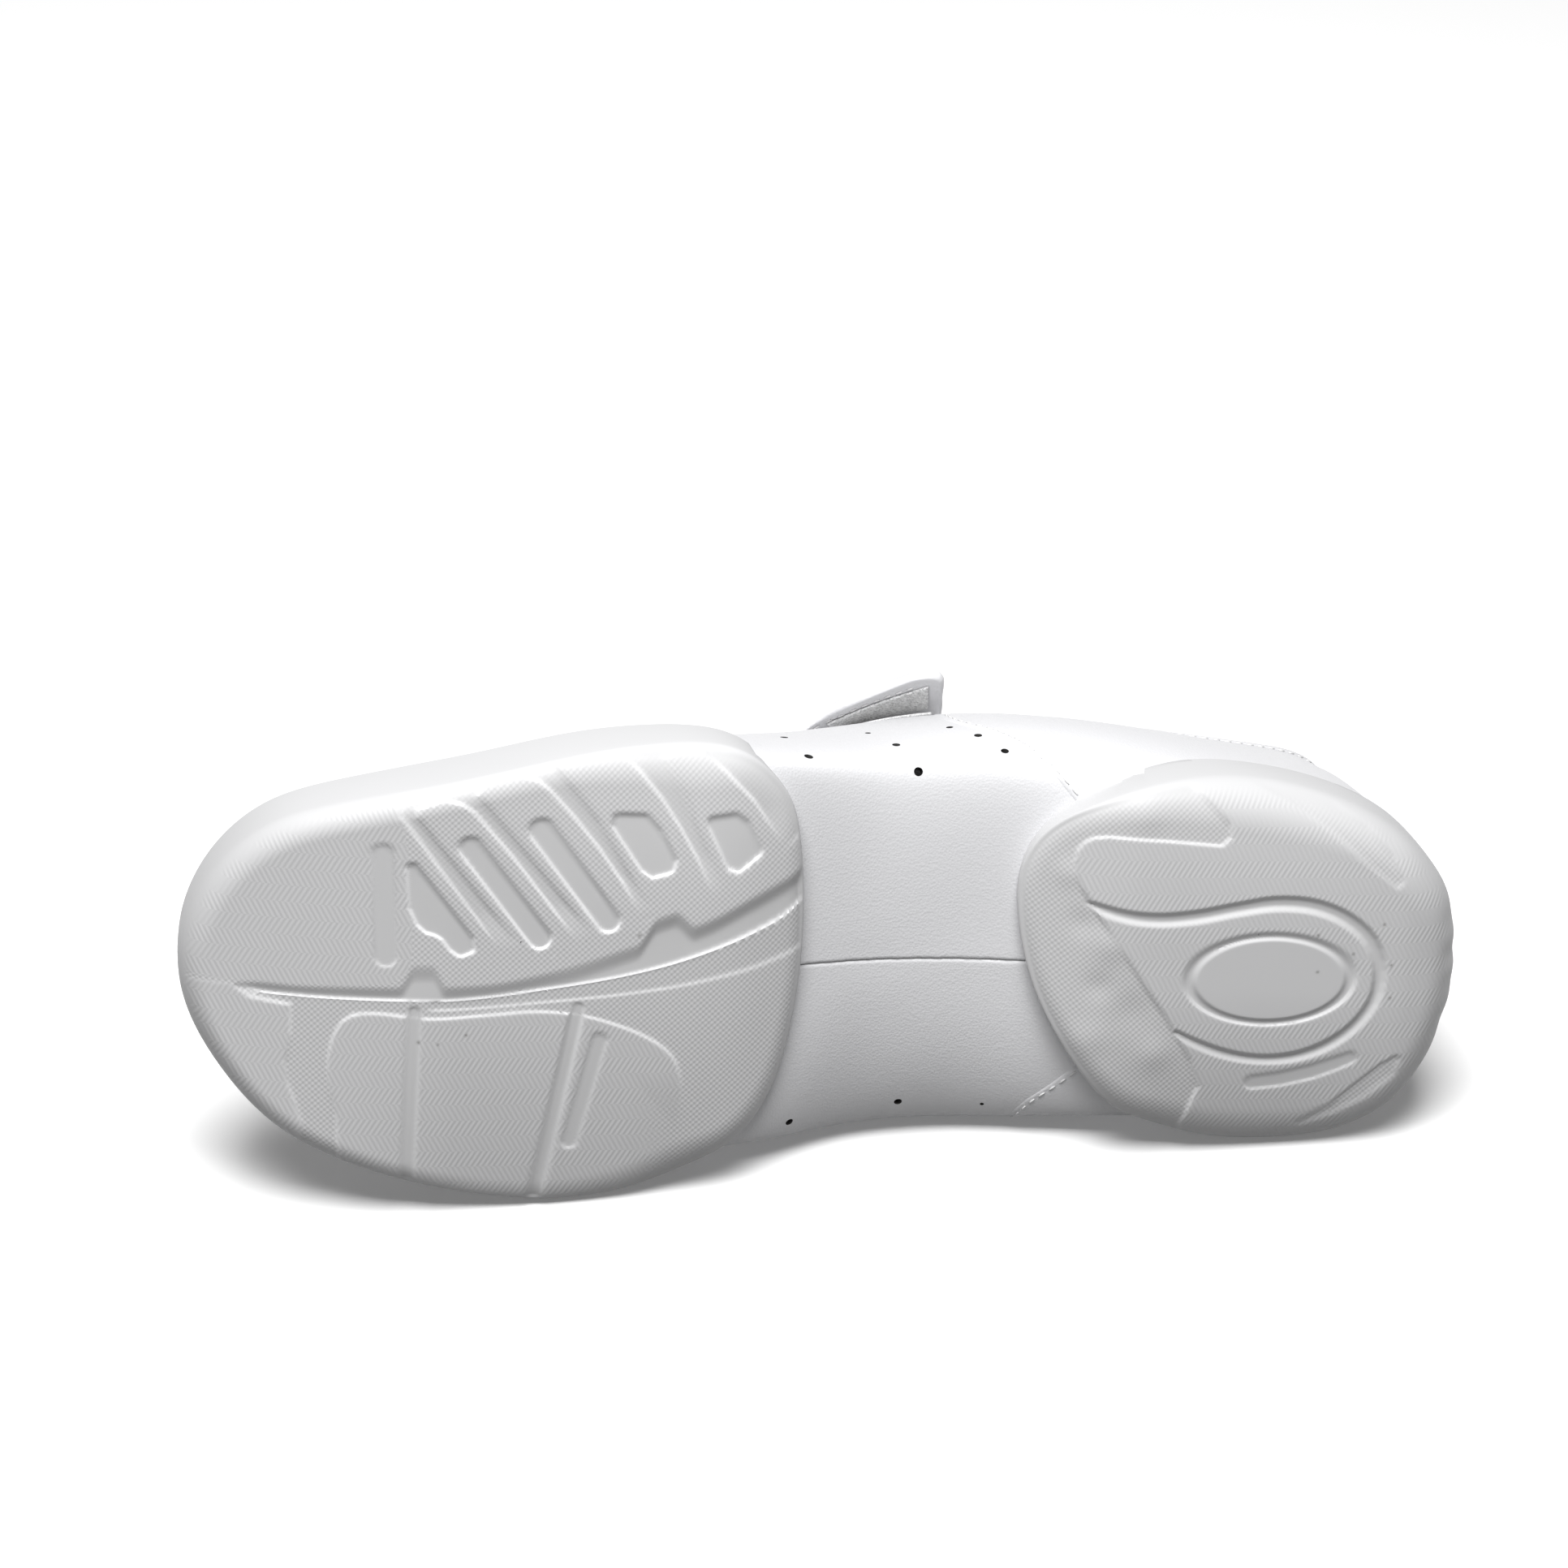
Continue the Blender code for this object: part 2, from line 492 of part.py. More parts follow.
def main():
    for old in list(bpy.data.objects):
        bpy.data.objects.remove(old, do_unlink=True)
    rest = bpy.data.objects.new("shoe_rest", None)
    bpy.context.collection.objects.link(rest)
    leather = material("white leather", LEATHER, 0.5)
    rubber = material("off-white rubber", RUBBER, 0.6)
    tape = material("hook and loop tape", TAPE, 0.95)
    foam = material("lining foam", FOAM, 0.9)

    # Upper, with its bottom openings, and the solid last that the rubber is cut by
    travel = np.arange(COLUMNS) * LOOP / COLUMNS
    low_shares = (0.0, 0.4, OPENING_SHARE, 0.9, 0.97)
    wall_shares = (0.0, 0.12, 0.25, 0.4, 0.55, 0.7, 0.85, 1.0)
    grid = [bottom_point(travel, s) for s in low_shares] + [wall_point(travel, s) for s in wall_shares]
    row_of = np.minimum(travel, LOOP - travel)

    def closed_under(i, j):
        middle = 0.5 * (row_of[j] + row_of[(j + 1) % COLUMNS])
        return i >= 2 or WAIST_BACK_ROW < middle < WAIST_FRONT_ROW

    upper = place("upper", slab(sheet_of(grid, True, closed_under, True), 0.0, -WALL), rest, leather)

    keep_rings = len(low_shares) + 5
    body = sheet_of(grid[:keep_rings], True, None, True)
    for v, p in zip(body.verts, moved(body, FIT_GAP)):
        v.co = p
    rim = [e for e in body.edges if len(e.link_faces) == 1]
    peak = body.verts.new((120, -1.5, 62))
    for edge in rim:
        body.faces.new((*edge.verts, peak))
    last_form = place("last_form", body, rest, None, True)

    # Forefoot rubber
    forefoot = Unit(FOREFOOT_CENTRE, FOREFOOT_REAR, FOREFOOT_TIP, FOREFOOT_ROWS,
                    FOREFOOT_GROUND, FOREFOOT_TOP, FOREFOOT_ROLL)
    forefoot_sole = place("forefoot_sole", forefoot.block(72, 3, 4, 2, 0.5, 30), rest, rubber)
    cut(forefoot_sole, last_form)
    cutters = [prism(LOW_FOREFOOT, LOW_DEPTH), ribbon(MAIN_GROOVE, FOREFOOT_GROUND, GROOVE_DEPTH)]
    cutters += [prism(slot_outline(*row), POCKET_DEPTH) for row in SLOTS]
    for x0, y0, x1, y1, half in CHANNELS + POD_GROOVES:
        cutters.append(prism(slot_outline(x0, y0, half, x1, y1, half, 2), POCKET_DEPTH))
    for row in FOREFOOT_PILLS:
        cutters.append(prism(slot_outline(*row), float(profile(FOREFOOT_GROUND, row[0])) + PILL_DEPTH))
    for n, solid in enumerate(cutters):
        cut(forefoot_sole, place(f"forefoot_cut_{n}", solid, rest, None, True))

    # Heel rubber
    heel = Unit(HEEL_CENTRE, HEEL_REAR, HEEL_TIP, HEEL_ROWS, HEEL_GROUND, HEEL_TOP, HEEL_ROLL)
    heel_sole = place("heel_sole", heel.block(56, 2, 4, 2, 0.5, 28), rest, rubber)
    cut(heel_sole, last_form)
    cutters = [prism(LOW_HEEL, LOW_DEPTH), ribbon(CURL_GROOVE, HEEL_GROUND, POCKET_DEPTH)]
    cutters.append(oval_ring(MEDALLION_CENTRE, MEDALLION_OUTER, MEDALLION_INNER, RING_DEPTH))
    cutters += [ribbon(rows, HEEL_GROUND, POCKET_DEPTH) for rows in HEEL_BANDS]
    cutters.append(ribbon(HEEL_PILL, HEEL_GROUND, PILL_DEPTH))
    for n, solid in enumerate(cutters):
        cut(heel_sole, place(f"heel_cut_{n}", solid, rest, None, True))

    # Heel counter, a skin on the upper's own surface above the rubber's edge
    around, up = 30, 5
    grid = np.empty((up + 1, around + 1, 3))
    for i in range(up + 1):
        front = COUNTER_LATERAL[0] + (COUNTER_LATERAL[1] - COUNTER_LATERAL[0]) * i / up
        back = COUNTER_MEDIAL[0] + (COUNTER_MEDIAL[1] - COUNTER_MEDIAL[0]) * i / up
        line = np.linspace(-back, front, around + 1)
        fine = np.linspace(0, COUNTER_TOP, 60)
        wall = wall_point(line[:, None], fine[None, :])
        edge_z = profile(HEEL_TOP, wall[:, 0, 0]) + COUNTER_CLEAR
        start = np.array([np.interp(z, column[:, 2], fine) for z, column in zip(edge_z, wall)])
        grid[i] = wall_point(line, start + (COUNTER_TOP - start) * i / up)
    counter_sheet = sheet_of(grid, False, None, True)
    counter_skin = slab(counter_sheet, FIT_GAP + COUNTER_THICK, FIT_GAP)
    heel_counter = place("heel_counter", counter_skin, rest, leather)

    # Insole on the bottom of the upper
    grid = [bottom_point(travel, s) for s in low_shares[:4]]
    insole_top = -WALL - FIT_GAP
    insole_sheet = sheet_of(grid, True, None, True)
    place("insole", slab(insole_sheet, insole_top, insole_top - INSOLE_THICK), rest, foam)

    # Strap over the instep, its tape and the patch under its free end
    def strap_lines(start, end):
        across = np.linspace(start, end, 5)
        return across, STRAP_ROWS[0] + across * (STRAP_ROWS[1] - STRAP_ROWS[0])

    def free_share(across, t):
        return 1 + (STRAP_FREE_REAR + (STRAP_FREE_FRONT - STRAP_FREE_REAR) * across - 1) * t

    def strap_grid(edges, start, end, steps):
        across, lines = strap_lines(*edges)
        points = []
        for v in np.linspace(start, end, steps):
            if v < 1:
                p = wall_point(LOOP - lines, STRAP_SEWN + (1 - STRAP_SEWN) * v)
            elif v < 2:
                t = (v - 1)
                a, b = wall_point(LOOP - lines, 1.0), wall_point(lines, 1.0)
                middle = 0.5 * (a + b) + np.array([0, 0, STRAP_CROWN])
                p = (1 - t) ** 2 * a + 2 * t * (1 - t) * middle + t * t * b
            else:
                t = v - 2
                share = free_share(across, t)
                lift = STRAP_LIFT * (1 - across) * t * t
                stand = STRAP_STAND * np.minimum((1 - across) / STAND_TAPER, 1) * min(t / TAPE_ALONG[0], 1)
                p = wall_point(lines, share) + wall_normal(lines, share) * (lift + stand)[:, None]
            points.append(p)
        return np.array(points)

    strap_sheet = sheet_of(strap_grid((0, 1), 0, 3, 22))
    strap = place("strap", slab(strap_sheet, FIT_GAP + STRAP_THICK, FIT_GAP), rest, leather)
    hook_sheet = sheet_of(strap_grid(TAPE_ACROSS, 2 + TAPE_ALONG[0], 2 + TAPE_ALONG[1], 5))
    place("hook_pad", slab(hook_sheet, 0.0, -TAPE_THICK), rest, tape)
    across, lines = strap_lines(*TAPE_ACROSS)
    grid = [wall_point(lines, free_share(across, t)) for t in np.linspace(*TAPE_ALONG, 5)]
    place("loop_patch", slab(sheet_of(grid), FIT_GAP + TAPE_THICK, FIT_GAP), rest, tape)

    # Tongue, tucked under both sides of the throat
    def tongue_row(row):
        lines = np.array([row, LOOP - row])
        edge = wall_point(lines, 1.0) - wall_normal(lines, np.array([0.97, 0.97])) * (WALL + 1.0)
        under = wall_normal(lines, np.array([TONGUE_TUCK] * 2)) * (WALL + 0.7)
        tuck = wall_point(lines, TONGUE_TUCK) - under
        peak = 0.5 * (edge[0] + edge[1]) + np.array([0, 0, TONGUE_RISE])
        half = [0.5 * (edge[k] + peak) + np.array([0, 0, 0.3 * TONGUE_RISE]) for k in (0, 1)]
        return np.array([tuck[0], edge[0], half[0], peak, half[1], edge[1], tuck[1]])

    grid = [tongue_row(row) for row in np.linspace(*TONGUE_ROWS, 8)]
    first, last = grid[0], grid[-1]
    for move, narrow in (((-11, 0, -5.5), 0.12), ((-19, 0, -0.5), 0.14)):
        grid.insert(0, first + np.array(move) - (first - first[3]) * np.array([0, narrow, 0]))
    grid.append(last + np.array([11, 0, -7.5]) - (last - last[3]) * np.array([0.5, 0.3, 0]))
    tongue = sheet_of(grid)
    place("tongue", slab(tongue, 0.0, -TONGUE_THICK), rest, foam)

    # Rest it on the floor
    def points_of(*objects):
        return np.array([v.co for o in objects for v in o.data.vertices], float)

    supports = [points_of(forefoot_sole), points_of(heel_sole), points_of(upper, heel_counter, strap)]
    turn = lay_down(supports)
    lying = np.concatenate(supports) @ turn.T
    middle = 0.5 * (lying.min(0) + lying.max(0))
    moved_to = Matrix.Translation((-middle[0], -middle[1], -lying[:, 2].min()))
    rest.matrix_world = moved_to @ Matrix(turn.tolist()).to_4x4()
    bpy.context.view_layer.update()


main()
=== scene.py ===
# Looks of the split-sole cheer shoe: rubber tread, leather upper, strap, tapes, tongue and insole.
# The tables are in millimetres in the standing shoe: x from the back of the heel to the toe,
# y to the lateral side, z up from the ground.
import math

import bmesh
import bpy
import numpy as np
from mathutils import Matrix, Vector


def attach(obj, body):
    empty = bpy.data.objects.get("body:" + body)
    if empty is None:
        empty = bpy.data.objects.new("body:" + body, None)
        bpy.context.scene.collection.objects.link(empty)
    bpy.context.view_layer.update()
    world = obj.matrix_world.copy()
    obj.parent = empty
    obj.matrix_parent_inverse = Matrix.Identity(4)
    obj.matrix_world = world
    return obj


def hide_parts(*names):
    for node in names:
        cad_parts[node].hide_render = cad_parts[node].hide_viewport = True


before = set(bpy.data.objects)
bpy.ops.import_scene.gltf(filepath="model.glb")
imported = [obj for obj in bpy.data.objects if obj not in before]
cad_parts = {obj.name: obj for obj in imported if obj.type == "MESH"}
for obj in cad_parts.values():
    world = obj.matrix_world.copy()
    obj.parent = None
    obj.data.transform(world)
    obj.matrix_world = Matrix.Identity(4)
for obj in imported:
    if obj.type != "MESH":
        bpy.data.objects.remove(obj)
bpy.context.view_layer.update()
print("frame loaded:", ", ".join(sorted(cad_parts)))


# Smooth curves

def smoothStep(t):
    t = np.clip(t, 0, 1)
    return t * t * (3 - 2 * t)


def unit(v):
    return v / np.maximum(np.linalg.norm(v, axis=-1, keepdims=True), 1e-9)


def together(a, b):
    return np.broadcast_arrays(np.asarray(a, float), np.asarray(b, float))


def travelAlong(points):    # distance travelled down the first axis
    step = np.linalg.norm(np.diff(points, axis=0), axis=-1)
    return np.concatenate([np.zeros_like(step[:1]), np.cumsum(step, axis=0)])


def loopTangents(points):    # along a closed path whose last point repeats the first
    return unit(np.gradient(np.concatenate([points[-3:-1], points, points[1:3]]), axis=0)[2:-2])


def aroundSteps(places):    # differences over two neighbours around closed rings
    wide = np.concatenate([places[:, -2:-1], places, places[:, 1:2]], 1)
    return wide[:, 2:] - wide[:, :-2]


def loopThrough(rows):    # closed smooth curve, one unit of travel for each row
    rows = np.array(rows, float)
    count = len(rows)
    one = np.eye(count)
    system = 4 * one + np.roll(one, 1, 0) + np.roll(one, -1, 0)
    slopes = np.linalg.solve(system, 3 * (np.roll(rows, -1, 0) - np.roll(rows, 1, 0)))

    def at(travel):
        travel = np.mod(np.asarray(travel, float), count)
        first = np.floor(travel).astype(int) % count
        second = (first + 1) % count
        t = (travel - np.floor(travel))[..., None]
        return ((1 + 2 * t) * (1 - t) ** 2 * rows[first] + t * (1 - t) ** 2 * slopes[first]
                + t * t * (3 - 2 * t) * rows[second] + t * t * (t - 1) * slopes[second])
    return at


def profile(table, x):    # smooth values through rows of x and values
    table = np.array(table, float)
    knots, values = table[:, 0], table[:, 1:]
    slopes = np.gradient(values, knots, axis=0)
    x = np.clip(np.asarray(x, float), knots[0], knots[-1])
    i = np.clip(np.searchsorted(knots, x) - 1, 0, len(knots) - 2)
    step = (knots[i + 1] - knots[i])[..., None]
    t = (x - knots[i])[..., None] / step
    found = ((1 + 2 * t) * (1 - t) ** 2 * values[i] + t * (1 - t) ** 2 * step * slopes[i]
             + t * t * (3 - 2 * t) * values[i + 1] + t * t * (t - 1) * step * slopes[i + 1])
    return found[..., 0] if values.shape[1] == 1 else found


# The shoe lies on its medial side: turn and place of its own frame on the floor
lying = {"floorUp": (0.07452, 0.98998, -0.11992), "offset": (124.947, -37.806, 37.188)}
floorUp = unit(np.array(lying["floorUp"]))
heelward = np.array([-1.0, 0, 0])
alongFloor = unit(heelward - floorUp * (heelward @ floorUp))
lyingTurn = np.array([alongFloor, np.cross(floorUp, alongFloor), floorUp])


def toFloor(points):    # shoe millimetres to metres on the floor
    return (points @ lyingTurn.T + np.array(lying["offset"])) * 0.001


# The last: foot x, lateral, medial, edge rise, edge power, top x, lateral, medial, z,
# belly lateral, medial, up, shoulder out, down
lastRows = (
    (4, -1.5, -1.5, 2.7, 5.0, 10, -1.5, -1.5, 68, 3.5, 3.5, 16, 3, 14),
    (12, 21.5, -24.5, 2.7, 5.0, 17, 17.5, -20.5, 65.5, 2.0, 2.0, 16, 3, 14),
    (28, 31.8, -34.3, 2.7, 5.0, 33, 25.5, -28, 58.5, 1.5, 1.5, 15, 4, 13),
    (50, 35.6, -34.6, 3.0, 4.5, 55, 30, -31, 54, 1.5, 1.5, 15, 6, 13),
    (74, 36.5, -36.8, 5.0, 3.4, 75, 31, -31.5, 56, 5, 0.6, 13, 8, 13),
    (94, 38.3, -39.6, 6.0, 3.0, 92, 26.5, -28, 64, 4, -1.9, 12, 12, 14),
    (112, 38, -40.8, 6.0, 3.0, 106, 20.8, -22, 74, 2, -2.7, 13, 13, 14),
    (130, 39.5, -41.4, 4.5, 3.4, 119, 18, -18, 73, 2, -0.4, 15, 12, 13),
    (152, 42.0, -41.0, 3.0, 4.5, 136, 15, -15, 65, 1.5, 2.5, 15, 14, 9),
    (180, 40.0, -45.8, 2.7, 5.0, 152, 12, -12, 57, 1.0, 1.0, 15, 20, 8),
    (208, 33.2, -41.4, 2.7, 5.0, 162, 8, -8.5, 52.5, 1.0, 1.0, 15, 30, 8),
    (232, 25.3, -31.0, 2.7, 5.0, 165.5, 3.6, -4.6, 50.5, 0.8, 0.8, 14, 42, 9),
    (246.8, -2.5, -2.5, 2.7, 5.0, 166.5, -0.5, -0.5, 50, 0.5, 0.5, 14, 48, 10),
)
medialWaist = {4: (7.0, 2.6), 5: (11.0, 2.1), 6: (11.5, 2.0), 7: (8.5, 2.4)}    # own edge rise and power
lastBottom = ((0, 9.4), (30, 8.6), (60, 8.9), (80, 10.2), (100, 12), (115, 11.6), (135, 8.2),
              (155, 5.6), (180, 5), (205, 5.5), (225, 8.2), (247, 14.5))
spineBack, spineFront, spineSide, normalShare = 32.0, 214.0, -1.5, 15.0
rowCount = len(lastRows) - 1
loopCount = 2 * rowCount


def lastLoop():    # each side keeps its own columns: lateral first, then medial back to the heel
    lateral = np.array(lastRows, float)[:, (0, 1, 0, 3, 4, 5, 6, 8, 9, 11, 12, 13)]
    medial = np.array(lastRows, float)[:, (0, 2, 0, 3, 4, 5, 7, 8, 10, 11, 12, 13)]
    for i, edge in medialWaist.items():
        medial[i, 3:5] = edge
    rows = np.concatenate([lateral, medial[-2:0:-1]])
    along = (rows[:, 0] - lastRows[0][0]) / (lastRows[-1][0] - lastRows[0][0])
    rows[:, 2] = spineBack + (spineFront - spineBack) * along
    return loopThrough(rows)


lastAt = lastLoop()


def lastParts(travel):
    row = lastAt(travel)
    tangent = unit(lastAt(travel + 0.05)[..., :2] - lastAt(travel - 0.05)[..., :2])
    outward = np.stack([-tangent[..., 1], tangent[..., 0]], -1)
    footZ = profile(lastBottom, row[..., 0]) + row[..., 3]
    foot = np.concatenate([row[..., :2], footZ[..., None]], -1)
    top = row[..., 5:8]
    return row, foot, top, unit(outward * normalShare + foot[..., :2] - top[..., :2])


def wallPoint(travel, share):    # share 0 at the bottom edge, 1 at the collar or throat
    travel, share = together(travel, share)
    row, foot, top, lean = lastParts(travel)
    low = foot + np.concatenate([lean * row[..., 8:9], row[..., 9:10]], -1)
    high = top + np.concatenate([lean * row[..., 10:11], -row[..., 11:12]], -1)
    t = share[..., None]
    return (1 - t) ** 3 * foot + 3 * t * (1 - t) ** 2 * low + 3 * t * t * (1 - t) * high + t ** 3 * top


def bottomPoint(travel, share):    # share 0 on the middle line, 1 at the bottom edge
    travel, share = together(travel, share)
    row, foot = lastParts(travel)[:2]
    plan = np.stack([row[..., 2], np.full_like(row[..., 2], spineSide)], -1)
    plan = plan + (foot[..., :2] - plan) * share[..., None]
    power = row[..., 4]
    rounding = 1 - np.maximum(1 - np.clip(share, 0, 1) ** power, 0) ** (1 / power)
    z = profile(lastBottom, plan[..., 0]) * (1 - rounding) + foot[..., 2] * rounding
    return np.concatenate([plan, z[..., None]], -1)


def skinPoint(travel, w):    # w is -1 on the middle line under the shoe, 0 at the bottom edge, 1 at the top
    travel, w = together(travel, w)
    under, over = bottomPoint(travel, np.clip(1 + w, 0, 1)), wallPoint(travel, np.maximum(w, 0))
    return np.where((w < 0)[..., None], under, over)


def skinNormal(travel, w):
    e = 0.02
    upward = skinPoint(travel, w + e) - skinPoint(travel, w - e)
    along = skinPoint(travel + e, w) - skinPoint(travel - e, w)
    return unit(np.cross(upward, along))


# Meshes from shaped grids

def linked(name, data):    # new object in the scene
    made = bpy.data.objects.new(name, data)
    bpy.context.scene.collection.objects.link(made)
    return made


def meshFrom(bm, name):
    mesh = bpy.data.meshes.new(name)
    bm.to_mesh(mesh)
    bm.free()
    return mesh


def gridPiece(name, places, marks=None, weld=0.00002):
    # places: rings and columns of points in shoe millimetres, marks: point values of the same shape
    rings, columns = places.shape[0] - 1, places.shape[1] - 1
    bm = bmesh.new()
    bmesh.ops.create_grid(bm, x_segments=columns, y_segments=rings, size=0.5)
    mesh = meshFrom(bm, name)
    flat = np.empty(len(mesh.vertices) * 3)
    mesh.vertices.foreach_get("co", flat)
    flat = flat.reshape(-1, 3)
    column = np.rint((flat[:, 0] + 0.5) * columns).astype(int)
    ring = np.rint((flat[:, 1] + 0.5) * rings).astype(int)
    mesh.vertices.foreach_set("co", toFloor(places[ring, column]).ravel())
    for key, values in (marks or {}).items():
        kind, field = ("FLOAT_VECTOR", "vector") if values.ndim == 3 else ("FLOAT", "value")
        layer = mesh.attributes.new(key, kind, "POINT")
        layer.data.foreach_set(field, values[ring, column].ravel().astype(float))
    bm = bmesh.new()
    bm.from_mesh(mesh)
    bmesh.ops.remove_doubles(bm, verts=bm.verts, dist=weld)
    bmesh.ops.dissolve_degenerate(bm, edges=bm.edges, dist=weld * 0.1)
    bmesh.ops.recalc_face_normals(bm, faces=bm.faces)
    bm.to_mesh(mesh)
    bm.free()
    mesh.shade_smooth()
    return linked(name, mesh)


def gridNormals(places, wrap):    # outward side not settled here
    along = aroundSteps(places) if wrap else np.gradient(places, axis=1)
    return unit(np.cross(along, np.gradient(places, axis=0)))


def roundedSlab(middle, normals, half, corner=4):
    # Closed rings around a sheet of points, with half-round edges and ends
    turn = np.linspace(0, math.pi, 2 * corner + 1)[1:-1]
    half = np.broadcast_to(half, len(middle))
    rightOut, leftOut = unit(middle[:, -1] - middle[:, -2]), unit(middle[:, 0] - middle[:, 1])
    endTurn = np.linspace(0, math.pi / 2, corner + 1)[1:]
    firstOut, lastOut = unit(middle[0] - middle[1]), unit(middle[-1] - middle[-2])
    rows = [(middle[0] + firstOut * half[0] * math.sin(t), math.cos(t), 0) for t in endTurn[::-1]]
    rows += [(middle[i], 1.0, i) for i in range(len(middle))]
    rows += [(middle[-1] + lastOut * half[-1] * math.sin(t), math.cos(t), len(middle) - 1) for t in endTurn]
    rings = []
    for points, pinch, i in rows:
        thick, up = half[i] * pinch, normals[i]
        right = [points[-1] + up[-1] * thick * math.cos(t) + rightOut[i] * thick * math.sin(t) for t in turn]
        left = [points[0] - up[0] * thick * math.cos(t) + leftOut[i] * thick * math.sin(t) for t in turn]
        ring = np.concatenate([points + up * thick, right, (points - up * thick)[::-1], left])
        rings.append(np.concatenate([ring, ring[:1]]))
    return np.array(rings)


def refined(grid, rows, columns):    # smooth grid through a coarse one
    for axis, count in ((0, rows), (1, columns)):
        grid = np.moveaxis(grid, axis, 0)
        knots = np.arange(len(grid))
        table = np.column_stack([knots, grid.reshape(len(grid), -1)])
        grid = profile(table, np.linspace(0, len(grid) - 1, count)).reshape(count, *grid.shape[1:])
        grid = np.moveaxis(grid, 0, axis)
    return grid


# Materials

def hexColour(text):    # sRGB hex to linear
    parts = [int(text[i:i + 2], 16) / 255 for i in (1, 3, 5)]
    return tuple(c / 12.92 if c < 0.04045 else ((c + 0.055) / 1.055) ** 2.4 for c in parts) + (1.0,)


def addNode(tree, kind, inputs=None, **settings):
    node = tree.nodes.new(kind)
    for key, value in settings.items():
        setattr(node, key, value)
    for key, value in (inputs or {}).items():
        if isinstance(value, bpy.types.NodeSocket):
            tree.links.new(value, node.inputs[key])
        else:
            node.inputs[key].default_value = value
    return node


def newMaterial(name, values):    # values are the same all over the surface
    made = bpy.data.materials.new(name)
    made.use_nodes = True
    tree = made.node_tree
    shader = tree.nodes["Principled BSDF"]
    for key, value in values.items():
        shader.inputs[key].default_value = hexColour(value) if isinstance(value, str) else value
    return made, tree, shader


def maths(tree, operation, *values, clamp=False):
    inputs = dict(enumerate(values))
    return addNode(tree, "ShaderNodeMath", inputs, operation=operation, use_clamp=clamp).outputs[0]


def attribute(tree, name, output="Fac"):
    return addNode(tree, "ShaderNodeAttribute", attribute_name=name).outputs[output]


def textured(tree, kind, scale, output, **inputs):    # texture in object space
    inputs.update(Vector=addNode(tree, "ShaderNodeTexCoord").outputs["Object"], Scale=scale)
    return addNode(tree, kind, inputs).outputs[output]


def mixed(tree, factor, colour, other):    # sockets 6 and 7 take the colours
    inputs = {0: factor, 6: colour, 7: hexColour(other)}
    return addNode(tree, "ShaderNodeMix", inputs, data_type="RGBA").outputs[2]


def shaded(tree, shader, colour, height, relief):    # colour and relief into the shader
    bump = addNode(tree, "ShaderNodeBump", {"Strength": 1.0, "Distance": relief, "Height": height})
    tree.links.new(colour, shader.inputs["Base Color"])
    tree.links.new(bump.outputs["Normal"], shader.inputs["Normal"])


def rubberMaterial():
    # Moulded off-white rubber, matt with a faint sheen; herringbone and pebble relief follow the sole's plan
    look = {"base": "#CACACB", "hollow": "#BEBEBE", "speck": "#5A5853", "rim": "#E6E6E7",
            "stripePitch": 1.08, "stripeSlant": 0.55, "halfBand": 3.4, "dotPitch": 1.2, "dotHigh": 1.35,
            "grain": 0.25, "cloud": 0.25, "relief": 0.00002}
    made, tree, shader = newMaterial("moulded white rubber", {"Roughness": 0.52, "Specular IOR Level": 0.4})
    marks = {key: attribute(tree, key) for key in ("herring", "pebble", "hollow", "dirt", "rim")}
    place = addNode(tree, "ShaderNodeSeparateXYZ", {0: attribute(tree, "plan", "Vector")}).outputs
    fold = maths(tree, "PINGPONG", place["Y"], look["halfBand"])
    slant = maths(tree, "MULTIPLY_ADD", fold, look["stripeSlant"], place["X"])
    stripes = maths(tree, "SINE", maths(tree, "MULTIPLY", slant, 2 * math.pi / look["stripePitch"]))
    waves = [maths(tree, "COSINE", maths(tree, "MULTIPLY", place[key], 2 * math.pi / look["dotPitch"]))
             for key in ("X", "Y")]
    dots = maths(tree, "MULTIPLY", maths(tree, "MULTIPLY", *waves), look["dotHigh"])
    striped = maths(tree, "MULTIPLY", stripes, marks["herring"])
    relief = maths(tree, "MULTIPLY_ADD", dots, marks["pebble"], striped)
    grain = textured(tree, "ShaderNodeTexNoise", 2400.0, "Fac", Detail=2.0)
    height = maths(tree, "MULTIPLY_ADD", grain, look["grain"], relief)
    cloud = textured(tree, "ShaderNodeTexNoise", 45.0, "Fac", Detail=3.0)
    # Random cloudy tone plus painted shade: the deeper a hollow, the darker its colour
    toneAndPaintedShade = maths(tree, "MULTIPLY_ADD", cloud, look["cloud"], marks["hollow"], clamp=True)
    colour = hexColour(look["base"])
    # Mixed in turn: painted shade in the hollows with random cloudy tone, a painted highlight along tread
    # edges, and dirt specks
    for factor, key in ((toneAndPaintedShade, "hollow"), (marks["rim"], "rim"), (marks["dirt"], "speck")):
        colour = mixed(tree, factor, colour, look[key])
    shaded(tree, shader, colour, height, look["relief"])
    return made


def leatherMaterial():
    # Smooth white coated leather: very fine grain, soft gloss; the sewn line is darkened by an attribute
    look = {"base": "#DADADC", "seam": "#3A3A3C", "grainMm": 0.5, "soft": 0.9, "relief": 0.00004}
    plain = {"Roughness": 0.42, "Coat Weight": 0.12, "Coat Roughness": 0.35}
    made, tree, shader = newMaterial("white coated leather", plain)
    cells = textured(tree, "ShaderNodeTexVoronoi", 1000.0 / look["grainMm"], "Distance")
    soft = textured(tree, "ShaderNodeTexNoise", 160.0, "Fac", Detail=4.0)
    height = maths(tree, "MULTIPLY_ADD", soft, look["soft"], cells)
    colour = mixed(tree, attribute(tree, "seam"), hexColour(look["base"]), look["seam"])
    shaded(tree, shader, colour, height, look["relief"])
    return made


